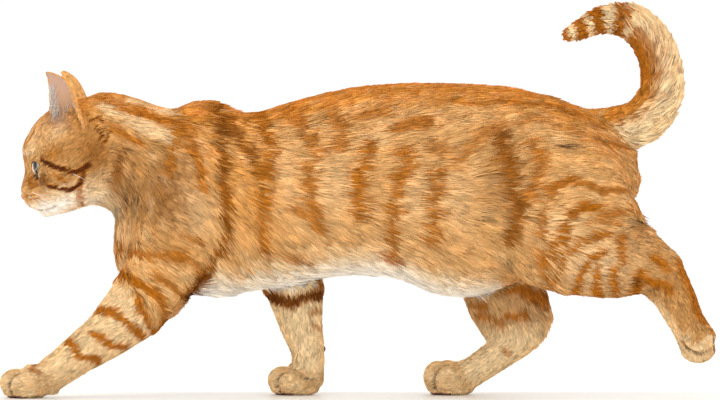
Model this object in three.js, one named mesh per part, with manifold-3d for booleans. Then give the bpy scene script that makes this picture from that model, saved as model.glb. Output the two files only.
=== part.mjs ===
// A walking ginger tabby cat at life size, as a museum model on a plain flat base.
//
// Millimetres, +Z up. The cat faces -X and its left side is toward -Y. The origin is the
// middle of the base's underside. Every outline runs out to the tips of the coat. The left
// fore paw, right fore paw and right hind paw stand on flats at one level, and the left hind
// paw is lifted behind the body, just after it has pushed off.

import * as THREE from 'three';
import { mergeVertices } from 'three/addons/utils/BufferGeometryUtils.js';
import Module from 'manifold-3d';

const wasm = await Module();
wasm.setup();

// ---------------------------------------------------------------- driving dimensions

const GAP = 0.3; // clearance between neighbouring parts
const BASE = { length: 602, width: 172, thickness: 8, corner: 26 };
const SOLE = BASE.thickness + GAP; // level of the three standing paws

// Facets: sides round a section, and lengths along the part.
const TRUNK_FACETS = { sides: 18, segments: 17 };
const NECK_FACETS = { sides: 14, segments: 5 };
const SKULL_FACETS = { sides: 16, segments: 12 };
const LIMB_FACETS = { sides: 10, segments: 10 };
const SHANK_FACETS = { sides: 10, segments: 7 };
const FOOT_FACETS = { sides: 10, segments: 5 };
const TAIL_FACETS = { sides: 9, segments: 16 };
const PAW_FACETS = { sides: 8, segments: 5 };

// How the head is carried: nose down, turned a little to the right, right ear higher.
const HEAD = {
  centre: new THREE.Vector3(-241.8, 0, SOLE + 197),
  noseDown: THREE.MathUtils.degToRad(28),
  turnRight: THREE.MathUtils.degToRad(5.5),
  tiltLeft: THREE.MathUtils.degToRad(4.5),
};

const EYE = { radius: 10.7, forward: 15.8, side: 15.8, up: 1.8 };
const SOCKET = { reach: 16.5, turn: 29, depth: 9, width: 11, height: 8.5 };
const EAR = { thickness: 2.4, rings: 6, arcPoints: 6 };
const TOE = { length: 10.5, width: 6.6, height: 10.4, middle: 9.8 };
const HEEL_TO_TOE = 47;

// Trunk sections from the breast to the buttocks: place along the body, height of the
// back, of the widest level and of the underside, and half the width.
const TRUNK = [
  [-202, 156, 140, 122, 12],
  [-197, 180, 142, 107, 25],
  [-184, 209, 150, 98, 35],
  [-163, 239, 158, 94, 43],
  [-143, 250, 162, 92, 47],
  [-127, 253, 162, 91.5, 49],
  [-109, 247, 160, 92.5, 50],
  [-88, 243.5, 158, 94, 52],
  [-62, 251, 158, 99, 55],
  [-25, 261.5, 160, 106, 59],
  [15, 267.5, 162, 108.5, 62],
  [43, 268.5, 160, 98.5, 62.5],
  [72, 268.5, 158, 89, 61],
  [104, 267.5, 160, 91, 58],
  [140, 263.5, 170, 106, 55],
  [172, 251.5, 178, 126, 49],
  [200, 238, 186, 146, 38],
  [222, 219, 190, 164, 24],
  [233, 200, 188, 176, 10],
];

// Neck sections, in the same order, from inside the head to inside the shoulders.
const NECK = [
  [-246, 228, 204, 176, 28],
  [-230, 256.5, 206, 165, 36.5],
  [-210, 261.5, 206, 163.5, 39.5],
  [-190, 258, 200, 152, 41],
  [-165, 250, 190, 134, 42],
  [-140, 243, 180, 126, 40],
];

// Head sections in its own frame: distance in front of the head's middle, height of the
// crown or nose bridge, of the widest level and of the jaw, half the width, and how sharp
// the top is (2 is round, lower is a ridge).
const SKULL = [
  [-52, 22, -4, -32, 24, 2],
  [-42, 34.5, -4, -41, 37, 2],
  [-26, 40.5, -5, -45, 44, 2.1],
  [-9, 42.5, -7, -45.5, 45.5, 2.2],
  [6, 39.5, -9, -43.5, 42, 2.1],
  [17, 34, -11, -41.5, 33, 1.8],
  [25, 28.5, -12, -39.5, 26.5, 1.5],
  [31, 18.5, -14, -37, 22, 1.35],
  [36, 7, -15, -33.5, 19.5, 1.4],
  [41, 1, -15, -28, 16, 1.7],
  [45, -3.5, -14, -22.5, 10.5, 2],
  [47, -7, -12.5, -18, 5, 2],
];

// Rounded masses of the face: middle (forward, side, up) and half sizes. The paired ones
// are mirrored to the other side.
const FACE = [
  { at: [36, 9.4, -17], size: [10.5, 10.8, 9.8], paired: true }, // whisker pad
  { at: [31, 0, -28.5], size: [10.5, 10, 9], paired: false }, // chin
  { at: [9, 25, -14], size: [17, 15, 16], paired: true }, // cheekbone
  { at: [18, 13.5, 18.5], size: [9.5, 11, 8.5], paired: true }, // brow
];

const NOSE = { at: [44.2, 0, -11.8], size: [4.4, 5.8, 4.4] };

// Limb sections: x, y, z of the limb's middle line, half its depth in the plane of the
// stride and half its width across.
const FORELEG_LEFT = [
  [-128, -33, 214, 20, 9],
  [-136, -35, 190, 34, 16],
  [-144, -36, 162, 37, 18.5],
  [-152, -37, 132, 35, 19.5],
  [-164, -36, 104, 31, 20],
  [-180, -34, 84, 28, 19.5],
  [-201, -32, 63, 22, 18],
  [-224, -30, 47, 17.8, 16],
  [-240, -29, 35, 15.8, 15],
  [-256, -28, 24, 14, 15],
];
const FORELEG_RIGHT = [
  [-92, 33, 208, 20, 9],
  [-87, 35, 186, 31, 16],
  [-78, 36, 158, 34, 18.5],
  [-66, 36, 128, 31, 19],
  [-54, 34, 102, 26.5, 18.5],
  [-51, 32, 85, 23, 17],
  [-48, 30, 68, 19.5, 15.5],
  [-43.5, 29, 52, 16, 14.5],
  [-41, 28, 36, 14.3, 14],
  [-45, 28, 23, 14.5, 14.5],
];
const THIGH_LEFT = [
  [201, -30, 212, 18, 11],
  [191, -31, 198, 41, 20],
  [176, -34, 174, 51, 23],
  [163, -36, 150, 52, 23.5],
  [153, -36, 126, 44, 21],
  [147, -36, 109, 30, 16],
  [144, -36, 100, 14, 9],
];
const THIGH_RIGHT = [
  [194, 30, 209, 18, 11],
  [180, 31, 194, 40, 20],
  [158, 34, 170, 48, 23],
  [135, 36, 146, 47, 23.5],
  [120, 36, 122, 38, 21],
  [114, 36, 107, 26, 15],
  [111, 36, 99, 12, 9],
];
const SHANK_LEFT = [
  [150, -36, 121, 20, 13],
  [168, -37, 120.5, 28.5, 18],
  [192, -37, 119.5, 30.5, 17.5],
  [216, -36, 120, 30, 16],
  [234, -35, 118, 27, 14.5],
  [247, -34, 110, 22.5, 13.5],
  [256, -33, 96, 18.6, 13],
  [262, -32, 85, 17, 12.8],
  [268, -31, 72.5, 15.6, 13],
  [275, -31, 59, 14.6, 13.5],
  [280, -31, 46, 13, 13],
];
const SHANK_RIGHT = [
  [106, 36, 128, 34, 17],
  [118, 36, 106, 35, 18],
  [125, 35, 86, 35, 17],
  [131, 34, 70, 30, 15.5],
  [135, 33, 59, 25.5, 14],
  [139.5, 33, 48, 16, 11],
];
const METATARSUS_RIGHT = [
  [146, 33, 58, 11, 10],
  [131, 32.5, 50.5, 15, 13],
  [111.5, 31, 38, 14, 13.5],
  [98, 30, 28.3, 13.3, 14],
  [85, 30, 23, 13.2, 14.5],
];

// Tail sections, from inside the rump round the curl to the tip.
const TAIL = [
  [196, 0, 224, 18],
  [216, 0, 229, 21],
  [233, 0, 235, 20.5],
  [246, -1, 251, 19.5],
  [250, -2, 268, 18.5],
  [247.5, -3, 287, 17.5],
  [240, -3, 303, 17.2],
  [228, -2, 315.5, 15.8],
  [212, 0, 320, 13.8],
  [197, 2, 317.5, 11.8],
  [184, 4, 311.5, 9.4],
  [174.5, 5, 307.8, 6.8],
  [169, 6, 305.8, 3],
];

// Where thin cuts part the body: a point of the cut and the way it faces.
const CUTS = {
  neckFromChest: { at: [-186, 0, 200], facing: [1, 0, -0.34] },
  chestFromBelly: { at: [-52, 0, 180], facing: [1, 0, 0] },
  bellyFromRump: { at: [104, 0, 180], facing: [1, 0, 0] },
  elbowLeft: { at: [-176, -34, 88], facing: [-0.78, 0, -0.62] },
  elbowRight: { at: [-54, 34, 102], facing: [0.1, 0, -1] },
  wristLeft: { at: [-246, -29, 30], facing: [-0.86, 0, -0.5] },
  wristRight: { at: [-42, 28, 32], facing: [-0.2, 0, -1] },
  hockLeft: { at: [249, -34, 108], facing: [0.75, 0, -0.66] },
  hockRight: { at: [134, 33, 56], facing: [-0.12, 0, -1] },
  toesLeft: { at: [275, -31, 56], facing: [0.42, 0, -0.9] },
  toesRight: { at: [93, 30, 26], facing: [-0.88, 0, -0.48] },
  tailMiddle: { at: [250, 0, 272], facing: [0, 0, 1] },
  tailBase: { at: [226, 0, 232], facing: [0.96, 0, 0.28] },
  tailCurl: { at: [216, 0, 318], facing: [-1, 0, 0.2] },
  mouth: { at: [36, 0, -25.8], facing: [0.54, 0, -0.84] },
};

// ---------------------------------------------------------------- materials

const coat = (colour) => new THREE.MeshStandardMaterial({ color: colour, roughness: 0.85 });
const MATERIALS = {
  coat: coat(0xc98a45),
  stripedCoat: coat(0xb06a2a),
  paleCoat: coat(0xe6cda4),
  ear: coat(0xc9977a),
  eye: new THREE.MeshStandardMaterial({ color: 0x8d9a7c, roughness: 0.08 }),
  nose: new THREE.MeshStandardMaterial({ color: 0xc98578, roughness: 0.5 }),
  stand: new THREE.MeshStandardMaterial({ color: 0xe9e6df, roughness: 0.4 }),
};

// ---------------------------------------------------------------- closed shapes

const signedPower = (value, power) => Math.sign(value) * Math.abs(value) ** power;

// A rounded section as [across, up] pairs about its widest level. Top and bottom have
// their own height and sharpness: 2 is an ellipse, lower a ridge, higher squarer.
function section(half, up, down, sides, sharpTop = 2, sharpBottom = 2) {
  return Array.from({ length: sides }, (_, k) => {
    const angle = (2 * Math.PI * k) / sides;
    const above = Math.sin(angle) >= 0;
    const power = 2 / (above ? sharpTop : sharpBottom);
    return [
      half * signedPower(Math.cos(angle), power),
      (above ? up : down) * signedPower(Math.sin(angle), power),
    ];
  });
}

// A closed skin over a row of rings of equal length, with a fan over each end.
function loft(rings) {
  const sides = rings[0].length;
  const points = rings.flat();
  const index = [];
  for (let r = 0; r + 1 < rings.length; r++) {
    for (let s = 0; s < sides; s++) {
      const a = r * sides + s;
      const b = r * sides + ((s + 1) % sides);
      index.push(a, b, b + sides, a, b + sides, a + sides);
    }
  }
  for (const r of [0, rings.length - 1]) {
    const hub = points.length;
    const sum = rings[r].reduce((total, p) => total.add(p), new THREE.Vector3());
    points.push(sum.divideScalar(sides));
    for (let s = 0; s < sides; s++) {
      const a = r * sides + s;
      const b = r * sides + ((s + 1) % sides);
      index.push(hub, r === 0 ? b : a, r === 0 ? a : b);
    }
  }
  const geometry = new THREE.BufferGeometry().setFromPoints(points);
  geometry.setIndex(index);
  return geometry;
}

// Values read smoothly between table rows, at the ends of an even count of segments.
function between(rows, segments) {
  const width = rows[0].length;
  const curves = [];
  for (let c = 0; c < width; c += 3) {
    const at = (row, k) => (c + k < width ? row[c + k] : 0);
    const points = rows.map((row) => new THREE.Vector3(at(row, 0), at(row, 1), at(row, 2)));
    curves.push(new THREE.CatmullRomCurve3(points, false, 'catmullrom', 0.5));
  }
  return Array.from({ length: segments + 1 }, (_, k) =>
    curves.flatMap((curve) => curve.getPoint(k / segments).toArray()).slice(0, width),
  );
}

// The same rows grown outward on every side, to cut a neighbour clear of the shape.
const growBody = (grow) => ([x, top, level, bottom, half, ...rest], k, rows) => {
  const end = k === 0 ? -grow : k === rows.length - 1 ? grow : 0;
  return [x + end, top + grow, level, bottom - grow, half + grow, ...rest];
};

// Trunk, neck or skull: upright sections strung along X, `forward` being -X on the head.
function body(rows, { sides, segments }, grow = 0, forward = 1) {
  const rings = between(rows, segments).map(growBody(grow)).map((row) => {
    const [x, top, level, bottom, half, sharpTop = 2.15] = row;
    const outline = section(half, top - level, level - bottom, sides, sharpTop, 2.15);
    return outline.map(([y, z]) => new THREE.Vector3(forward * x, y, level + z));
  });
  return loft(rings);
}

// Leg or tail: oval sections square to a middle line that runs in the plane of the stride.
function limb(rows, grow = 0, { sides, segments } = LIMB_FACETS) {
  const stations = between(rows, segments);
  const last = stations.length - 1;
  const across = new THREE.Vector3(0, 1, 0);
  const middle = (k) => new THREE.Vector3(...stations[k].slice(0, 3));
  const rings = stations.map(([, , , deep, wide = deep], k) => {
    const along = middle(Math.min(k + 1, last)).sub(middle(Math.max(k - 1, 0))).normalize();
    const out = new THREE.Vector3().crossVectors(across, along).normalize();
    const shift = k === 0 ? -grow : k === last ? grow : 0;
    const centre = middle(k).addScaledVector(along, shift);
    return section(wide + grow, deep + grow, deep + grow, sides).map(([w, d]) =>
      centre.clone().addScaledVector(across, w).addScaledVector(out, d),
    );
  });
  return loft(rings);
}

function ellipsoid([x, y, z], [a, b, c], grow = 0, columns = 8, rows = 6) {
  const geometry = new THREE.SphereGeometry(1, columns, rows);
  return geometry.scale(a + grow, b + grow, c + grow).translate(x, y, z);
}

// ---------------------------------------------------------------- joining and cutting

function solid(geometry, pose = new THREE.Matrix4()) {
  let bare = geometry.clone().applyMatrix4(pose);
  bare.deleteAttribute('normal');
  bare.deleteAttribute('uv');
  bare = mergeVertices(bare, 1e-4);
  const points = new Float32Array(bare.attributes.position.array);
  const index = new Uint32Array(bare.index.array);
  if (signedVolume(points, index) < 0) {
    for (let t = 0; t < index.length; t += 3) {
      [index[t], index[t + 1]] = [index[t + 1], index[t]];
    }
  }
  const mesh = new wasm.Mesh({ numProp: 3, vertProperties: points, triVerts: index });
  return new wasm.Manifold(mesh);
}

function signedVolume(points, index) {
  const [a, b, c] = [new THREE.Vector3(), new THREE.Vector3(), new THREE.Vector3()];
  let total = 0;
  for (let t = 0; t < index.length; t += 3) {
    [a, b, c].forEach((corner, k) => corner.fromArray(points, index[t + k] * 3));
    total += a.dot(b.cross(c));
  }
  return total / 6;
}

const join = (solids) => solids.reduce((all, next) => all.add(next));
const cutBy = (body, tools) => tools.reduce((left, tool) => left.subtract(tool), body);

// The piece of a solid that holds most of it, without crumbs that a cut leaves over.
function largest(body) {
  const pieces = body.decompose();
  return pieces.reduce((best, next) => (next.volume() > best.volume() ? next : best));
}

// A thin cut: the part on the side that the cut faces, and the part behind it.
function part({ at, facing }, body) {
  const normal = new THREE.Vector3(...facing).normalize();
  const offset = normal.dot(new THREE.Vector3(...at));
  const back = normal.clone().negate();
  return [
    largest(body.trimByPlane(normal.toArray(), offset + GAP / 2)),
    largest(body.trimByPlane(back.toArray(), -offset + GAP / 2)),
  ];
}

function mesh(name, body, material) {
  const { vertProperties, triVerts, numProp } = body.getMesh();
  const points = [];
  for (let v = 0; v < vertProperties.length; v += numProp) {
    points.push(vertProperties[v], vertProperties[v + 1], vertProperties[v + 2]);
  }
  const geometry = new THREE.BufferGeometry();
  geometry.setAttribute('position', new THREE.Float32BufferAttribute(points, 3));
  geometry.setIndex(Array.from(triVerts));
  geometry.computeVertexNormals();
  const result = new THREE.Mesh(geometry, material);
  result.name = name;
  return result;
}

// ---------------------------------------------------------------- head

// The head's own frame has its nose toward -X; `pose` carries it to the end of the neck.
const headPose = new THREE.Matrix4()
  .makeRotationFromEuler(new THREE.Euler(HEAD.tiltLeft, -HEAD.noseDown, -HEAD.turnRight, 'ZYX'))
  .setPosition(HEAD.centre);

const facing = ([forward, side, up]) => [-forward, side, up];

function headShapes(grow) {
  const shapes = [body(SKULL, SKULL_FACETS, grow, -1)];
  for (const { at, size, paired } of FACE) {
    for (const side of paired ? [-1, 1] : [1]) {
      const [forward, across, up] = at;
      shapes.push(ellipsoid(facing([forward, side * across, up]), size, grow));
    }
  }
  return shapes;
}

const eyeBall = (side, grow = 0) =>
  new THREE.SphereGeometry(EYE.radius + grow, 10, 8).translate(
    ...facing([EYE.forward, side * EYE.side, EYE.up]),
  );

// The hollow in front of an eyeball, which leaves the middle of the eye open between lids.
function eyeSocket(side) {
  const turn = THREE.MathUtils.degToRad(SOCKET.turn);
  const { forward, side: out, up } = EYE;
  const ahead = forward + SOCKET.reach * Math.cos(turn);
  const beside = side * (out + SOCKET.reach * Math.sin(turn));
  return new THREE.SphereGeometry(1, 10, 7)
    .scale(SOCKET.depth, SOCKET.width, SOCKET.height)
    .rotateZ(-side * turn)
    .translate(...facing([ahead, beside, up]));
}

// One ear: a cupped leaf that stands on the side of the crown and opens outward and
// forward. Each ring is the convex back joined to the hollow front.
const EAR_BASE = new THREE.Vector3(-18, 29, 12);
const EAR_TIP = new THREE.Vector3(-24.5, 39, 67.8);
const EAR_OPENING = THREE.MathUtils.degToRad(52); // from straight ahead toward the side
const EAR_BOW = 6; // how far the ear's middle lies behind a straight line to the tip

function earShape(side) {
  const open = new THREE.Vector3(-Math.cos(EAR_OPENING), side * Math.sin(EAR_OPENING), 0);
  const across = new THREE.Vector3(-Math.sin(EAR_OPENING), -side * Math.cos(EAR_OPENING), 0);
  const rings = [];
  for (let k = 0; k <= EAR.rings; k++) {
    const t = k / EAR.rings;
    const [forward, out, up] = EAR_BASE.clone().lerp(EAR_TIP, t).toArray();
    const bow = EAR_BOW * Math.sin(0.9 * Math.PI * t ** 2.2);
    const middle = new THREE.Vector3(bow - forward, side * out, up);
    const half = 1.2 + 17 * (1 - t ** 1.7) ** 0.9;
    const cup = 1.8 + 14 * (1 - t) ** 0.8;
    const thick = EAR.thickness * (1 - 0.35 * t);
    const arc = (reach, depth, shift) =>
      Array.from({ length: EAR.arcPoints + 1 }, (_, p) => {
        const angle = Math.PI * (p / EAR.arcPoints);
        return middle.clone()
          .addScaledVector(across, reach * Math.cos(angle))
          .addScaledVector(open, shift - depth * Math.sin(angle));
      });
    const back = arc(half, cup, 3);
    const front = arc(half - thick * 0.6, cup - thick * 0.7, 3 + thick * 0.3).reverse();
    rings.push([...back, ...front]);
  }
  return loft(rings);
}

const skullSolid = (grow, pose) => join(headShapes(grow).map((shape) => solid(shape, pose)));
const noseShape = (grow) => ellipsoid(facing(NOSE.at), NOSE.size, grow, 8, 6);

const hollowed = cutBy(skullSolid(0), [
  ...[-1, 1].flatMap((side) => [solid(eyeBall(side, GAP)), solid(eyeSocket(side))]),
  solid(noseShape(GAP)),
]);
const mouthCut = { ...CUTS.mouth, at: facing(CUTS.mouth.at), facing: facing(CUTS.mouth.facing) };
const [lowerJaw, aboveMouth] = part(mouthCut, hollowed);
const skullGrown = skullSolid(GAP);

const headGroup = new THREE.Group();
headGroup.applyMatrix4(headPose);
headGroup.add(
  mesh('head', aboveMouth, MATERIALS.coat),
  mesh('lower_jaw', lowerJaw, MATERIALS.paleCoat),
  mesh('nose', solid(noseShape(0)), MATERIALS.nose),
);
for (const [name, side] of [['left', -1], ['right', 1]]) {
  const ear = largest(solid(earShape(side)).subtract(skullGrown));
  headGroup.add(mesh(`ear_${name}`, ear, MATERIALS.ear));
  headGroup.add(mesh(`eye_${name}`, solid(eyeBall(side)), MATERIALS.eye));
}

// ---------------------------------------------------------------- paws

// A paw stands at its own origin with its toes toward -X and its sole at zero height.
const PAW = [
  [-HEEL_TO_TOE + 4, 19, 10, 1.5, 10.5],
  [-HEEL_TO_TOE + 11, 25, 10.5, -2, 14.8],
  [-HEEL_TO_TOE + 22, 27.5, 11, -3, 15.6],
  [-HEEL_TO_TOE + 33, 28, 12, -2.5, 14.5],
  [-5, 25.5, 14, 3, 12],
  [0, 21, 15, 9, 7],
];
const TOES = [
  { forward: HEEL_TO_TOE - TOE.length, side: 4.9 },
  { forward: HEEL_TO_TOE - TOE.length - 5.5, side: 12.3 },
];

function pawSolid(pose, { grow = 0, lifted = false } = {}) {
  const shapes = [body(PAW, PAW_FACETS, grow)];
  for (const { forward, side } of TOES) {
    for (const sign of [-1, 1]) {
      const size = [TOE.length, TOE.width, TOE.height];
      shapes.push(ellipsoid([-forward, sign * side, TOE.middle], size, grow, 6, 5));
    }
  }
  const whole = join(shapes.map((shape) => solid(shape)));
  const standing = lifted ? whole : whole.trimByPlane([0, 0, 1], -grow);
  const { vertProperties, triVerts } = standing.getMesh();
  const geometry = new THREE.BufferGeometry();
  geometry.setAttribute('position', new THREE.Float32BufferAttribute(vertProperties, 3));
  geometry.setIndex(Array.from(triVerts));
  return solid(geometry, pose);
}

const pawPose = (x, y, z, turn = 0) =>
  new THREE.Matrix4().makeRotationY(turn).setPosition(x, y, z);
const PAW_POSES = {
  fore_left: pawPose(-249, -27.5, SOLE),
  fore_right: pawPose(-28.5, 28, SOLE),
  hind_left: pawPose(283.6, -31, 83.4, THREE.MathUtils.degToRad(-97)),
  hind_right: pawPose(101, 30, SOLE),
};
const pawOptions = { hind_left: { lifted: true } };
const paws = {};
for (const [name, pose] of Object.entries(PAW_POSES)) {
  paws[name] = pawSolid(pose, pawOptions[name]);
}

// ---------------------------------------------------------------- legs

const legs = {
  fore_left: solid(limb(FORELEG_LEFT)),
  fore_right: solid(limb(FORELEG_RIGHT)),
  hind_left: solid(limb(SHANK_LEFT)),
  hind_right: join([
    solid(limb(SHANK_RIGHT, 0, SHANK_FACETS)),
    solid(limb(METATARSUS_RIGHT, 0, FOOT_FACETS)),
  ]),
};
const thighs = { left: solid(limb(THIGH_LEFT)), right: solid(limb(THIGH_RIGHT)) };
const LEG_CUTS = {
  fore_left: ['elbowLeft', 'wristLeft'],
  fore_right: ['elbowRight', 'wristRight'],
  hind_left: ['hockLeft', 'toesLeft'],
  hind_right: ['hockRight', 'toesRight'],
};
const LEG_PIECES = {
  fore: ['upper_arm', 'forearm', 'paw'],
  hind: ['shank', 'metatarsus', 'paw'],
};

const thighsGrown = {
  left: solid(limb(THIGH_LEFT, GAP)),
  right: solid(limb(THIGH_RIGHT, GAP)),
};
const legGroup = new THREE.Group();
for (const [name, leg] of Object.entries(legs)) {
  const [place, side] = name.split('_');
  const whole = place === 'hind' ? leg.subtract(thighsGrown[side]) : leg;
  const [upperCut, lowerCut] = LEG_CUTS[name].map((cut) => CUTS[cut]);
  const [below, upper] = part(upperCut, largest(whole.add(paws[name])));
  const [paw, lower] = part(lowerCut, below);
  const pieces = [upper, lower, paw];
  LEG_PIECES[place].forEach((piece, k) => {
    const material = k === 2 ? MATERIALS.paleCoat : MATERIALS.stripedCoat;
    legGroup.add(mesh(`${piece}_${name}`, pieces[k], material));
  });
}
legGroup.add(
  mesh('thigh_left', thighs.left, MATERIALS.coat),
  mesh('thigh_right', thighs.right, MATERIALS.coat),
);

// ---------------------------------------------------------------- tail

const tailWhole = cutBy(solid(limb(TAIL, 0, TAIL_FACETS)), Object.values(thighsGrown));
const [tailUpper, tailLower] = part(CUTS.tailMiddle, tailWhole);
const [tailMiddle, tailBase] = part(CUTS.tailBase, tailLower);
const [tailTip, tailCurl] = part(CUTS.tailCurl, tailUpper);
const tailGroup = new THREE.Group();
tailGroup.add(
  mesh('tail_base', tailBase, MATERIALS.coat),
  mesh('tail_middle', tailMiddle, MATERIALS.stripedCoat),
  mesh('tail_curl', tailCurl, MATERIALS.coat),
  mesh('tail_tip', tailTip, MATERIALS.stripedCoat),
);

// ---------------------------------------------------------------- trunk

const trunkWhole = join([
  solid(body(TRUNK, TRUNK_FACETS)),
  solid(body(NECK, NECK_FACETS)),
]);
const clearOfTrunk = [
  skullSolid(GAP, headPose),
  solid(limb(TAIL, GAP, TAIL_FACETS)),
  thighsGrown.left,
  thighsGrown.right,
  solid(limb(FORELEG_LEFT, GAP)),
  solid(limb(FORELEG_RIGHT, GAP)),
  solid(limb(SHANK_LEFT, GAP)),
  solid(limb(SHANK_RIGHT, GAP, SHANK_FACETS)),
  solid(earShape(-1), headPose),
  solid(earShape(1), headPose),
];
const torso = largest(cutBy(trunkWhole, clearOfTrunk));
const [shoulders, neck] = part(CUTS.neckFromChest, torso);
const [hindBody, chest] = part(CUTS.chestFromBelly, shoulders);
const [rump, belly] = part(CUTS.bellyFromRump, hindBody);
const trunkGroup = new THREE.Group();
trunkGroup.add(
  mesh('neck', neck, MATERIALS.coat),
  mesh('chest', chest, MATERIALS.stripedCoat),
  mesh('belly', belly, MATERIALS.coat),
  mesh('rump', rump, MATERIALS.stripedCoat),
);

// ---------------------------------------------------------------- base

function basePlate({ length, width, thickness, corner }) {
  const [x, y] = [length / 2, width / 2];
  const outline = new THREE.Shape();
  outline.moveTo(-x + corner, -y);
  outline.lineTo(x - corner, -y);
  outline.absarc(x - corner, -y + corner, corner, -Math.PI / 2, 0);
  outline.absarc(x - corner, y - corner, corner, 0, Math.PI / 2);
  outline.absarc(-x + corner, y - corner, corner, Math.PI / 2, Math.PI);
  outline.absarc(-x + corner, -y + corner, corner, Math.PI, 1.5 * Math.PI);
  return new THREE.ExtrudeGeometry(outline, {
    depth: thickness,
    bevelEnabled: false,
    curveSegments: 4,
  });
}

const cat = new THREE.Group();
cat.add(headGroup, legGroup, tailGroup, trunkGroup);
cat.add(mesh('stand_base', solid(basePlate(BASE)), MATERIALS.stand));

export default cat;
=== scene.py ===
"""A walking ginger tabby cat at life size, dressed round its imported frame.

One skin takes the place of all the flesh, and the coat grows on it as solid tufts. Lengths
are millimetres until a mesh is made. The cat faces -X, its left side is -Y and +Z is up. The
head has a frame of its own: forward to the nose, side toward the right ear, and up.
"""

import math

import bmesh
import bpy
import numpy as np
from bpy.props import FloatProperty, FloatVectorProperty, PointerProperty
from mathutils import Euler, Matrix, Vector
from mathutils.bvhtree import BVHTree
from mathutils.kdtree import KDTree


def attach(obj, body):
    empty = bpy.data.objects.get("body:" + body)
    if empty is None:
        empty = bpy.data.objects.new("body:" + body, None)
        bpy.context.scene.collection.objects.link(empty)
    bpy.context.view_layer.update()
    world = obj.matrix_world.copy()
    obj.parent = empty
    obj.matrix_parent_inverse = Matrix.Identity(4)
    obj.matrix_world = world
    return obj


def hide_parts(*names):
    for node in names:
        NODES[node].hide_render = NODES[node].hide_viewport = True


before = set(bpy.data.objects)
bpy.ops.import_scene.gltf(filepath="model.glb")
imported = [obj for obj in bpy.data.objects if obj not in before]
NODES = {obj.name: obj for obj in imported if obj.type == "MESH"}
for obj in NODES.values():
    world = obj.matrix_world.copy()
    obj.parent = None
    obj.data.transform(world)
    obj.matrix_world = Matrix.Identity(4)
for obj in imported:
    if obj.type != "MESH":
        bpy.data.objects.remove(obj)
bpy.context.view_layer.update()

bl_info = {
    "name": "Ginger tabby cat",
    "version": (1, 0, 0),
    "blender": (4, 5, 0),
    "location": "3D View > Sidebar > Cat",
    "description": "Skin, coat, eyes and display base of a walking cat",
    "category": "Add Mesh",
}

MM = 0.001

# ---------------------------------------------------------------- measures of the animal

HEAD_CENTRE = np.array([-241.8, 0.0, 205.3])
HEAD_TURN = np.array(Euler([math.radians(a) for a in (4.5, -28.0, -5.5)], "XYZ").to_matrix())
EYE = {"radius": 10.7, "forward": 15.8, "side": 15.8, "up": 1.8, "turn": 26.5, "lift": 8.0}
SOLE = 8.3  # level of the three standing paws
SWELL = 0.45  # closes the thin cuts between neighbouring nodes
VOXEL = 1.6  # grain of the skin before the face and toes are refined
SKIN_TRIANGLES = 150000  # what the skin is thinned out to
NOSE_PLACE = (45.5, 0, -11.6)  # in the head frame
FAR = 9e9  # farther than anything

FLESH = [name for name in NODES if name.split("_")[0] not in ("eye", "nose", "stand")]

# The coat over each kind of node: its depth, the length and width of a tuft, tufts on a
# square millimetre, and rounds of smoothing that take the facets off the flesh.
COAT = {
    "head": (1.7, 7.0, 0.45, 3.1, 44),
    "lower_jaw": (1.6, 6.5, 0.45, 3.1, 12),
    "ear": (0.5, 4.5, 0.4, 3.0, 4),
    "neck": (3.6, 16.0, 0.62, 1.3, 60),
    "chest": (4.2, 20.0, 0.66, 0.98, 110),
    "belly": (4.6, 21.0, 0.66, 0.96, 130),
    "rump": (4.4, 20.0, 0.66, 0.98, 110),
    "thigh": (4.0, 17.0, 0.64, 1.05, 90),
    "upper_arm": (3.4, 14.5, 0.62, 1.25, 60),
    "forearm": (1.9, 7.0, 0.42, 1.95, 24),
    "shank": (2.4, 9.0, 0.5, 1.6, 30),
    "metatarsus": (1.6, 5.6, 0.4, 2.1, 16),
    "paw": (1.1, 3.7, 0.34, 2.9, 6),
    "tail": (8.0, 20.0, 0.58, 2.6, 30),
}

# Lie of the hair on the body, seen from the side: place along the body, height, and how
# many degrees it points below level as it runs back.
LIE = [
    (-185, 251, 12), (-157, 239, 15), (-128, 248, 5), (-193, 227, 25), (-206, 210, 38),
    (-193, 194, 48), (-202, 174, 60), (-192, 158, 75), (-189, 137, 62), (-161, 186, 40),
    (-145, 210, 45), (-132, 227, 35), (-120, 235, 20), (-128, 194, 36), (-141, 166, 33),
    (-161, 153, 32), (-124, 145, 36), (-169, 137, 28), (-141, 121, 36), (-157, 109, 40),
    (-177, 119, 34), (-96, 227, 10), (-88, 210, 12), (-92, 194, 18), (-96, 174, 35),
    (-100, 153, 56), (-104, 133, 66), (-88, 137, 50), (-63, 235, 3), (-47, 210, 6),
    (-55, 186, 12), (-39, 170, 20), (-47, 153, 30), (-59, 137, 45), (-31, 137, 30),
    (-72, 170, 25), (-47, 251, -12), (-7, 259, -8), (50, 261, 0), (99, 259, 5),
    (148, 253, 8), (-7, 235, -9), (18, 227, -12), (-15, 210, -8), (2, 186, 0),
    (34, 227, -11), (50, 210, -9), (34, 178, 0), (59, 178, 3), (18, 162, 12),
    (50, 153, 20), (34, 137, 35), (2, 137, 26), (18, 119, 50), (75, 137, 28),
    (67, 113, 42), (91, 227, -11), (115, 219, -15), (99, 194, -8), (132, 194, -10),
    (115, 170, 0), (99, 153, 15), (115, 133, 40), (132, 145, 30), (140, 170, 0),
    (164, 227, 5), (197, 219, 9), (213, 194, 9), (223, 176, 16), (164, 202, -2),
    (189, 202, 3), (156, 166, -14), (180, 160, -12), (166, 147, 8), (148, 119, 60),
    (164, 106, 52), (189, 129, 25), (213, 149, 25), (205, 114, 36), (229, 129, 28),
    (229, 105, 42),
]
LIE_REACH = 17.0  # how far one of those places is felt

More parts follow.
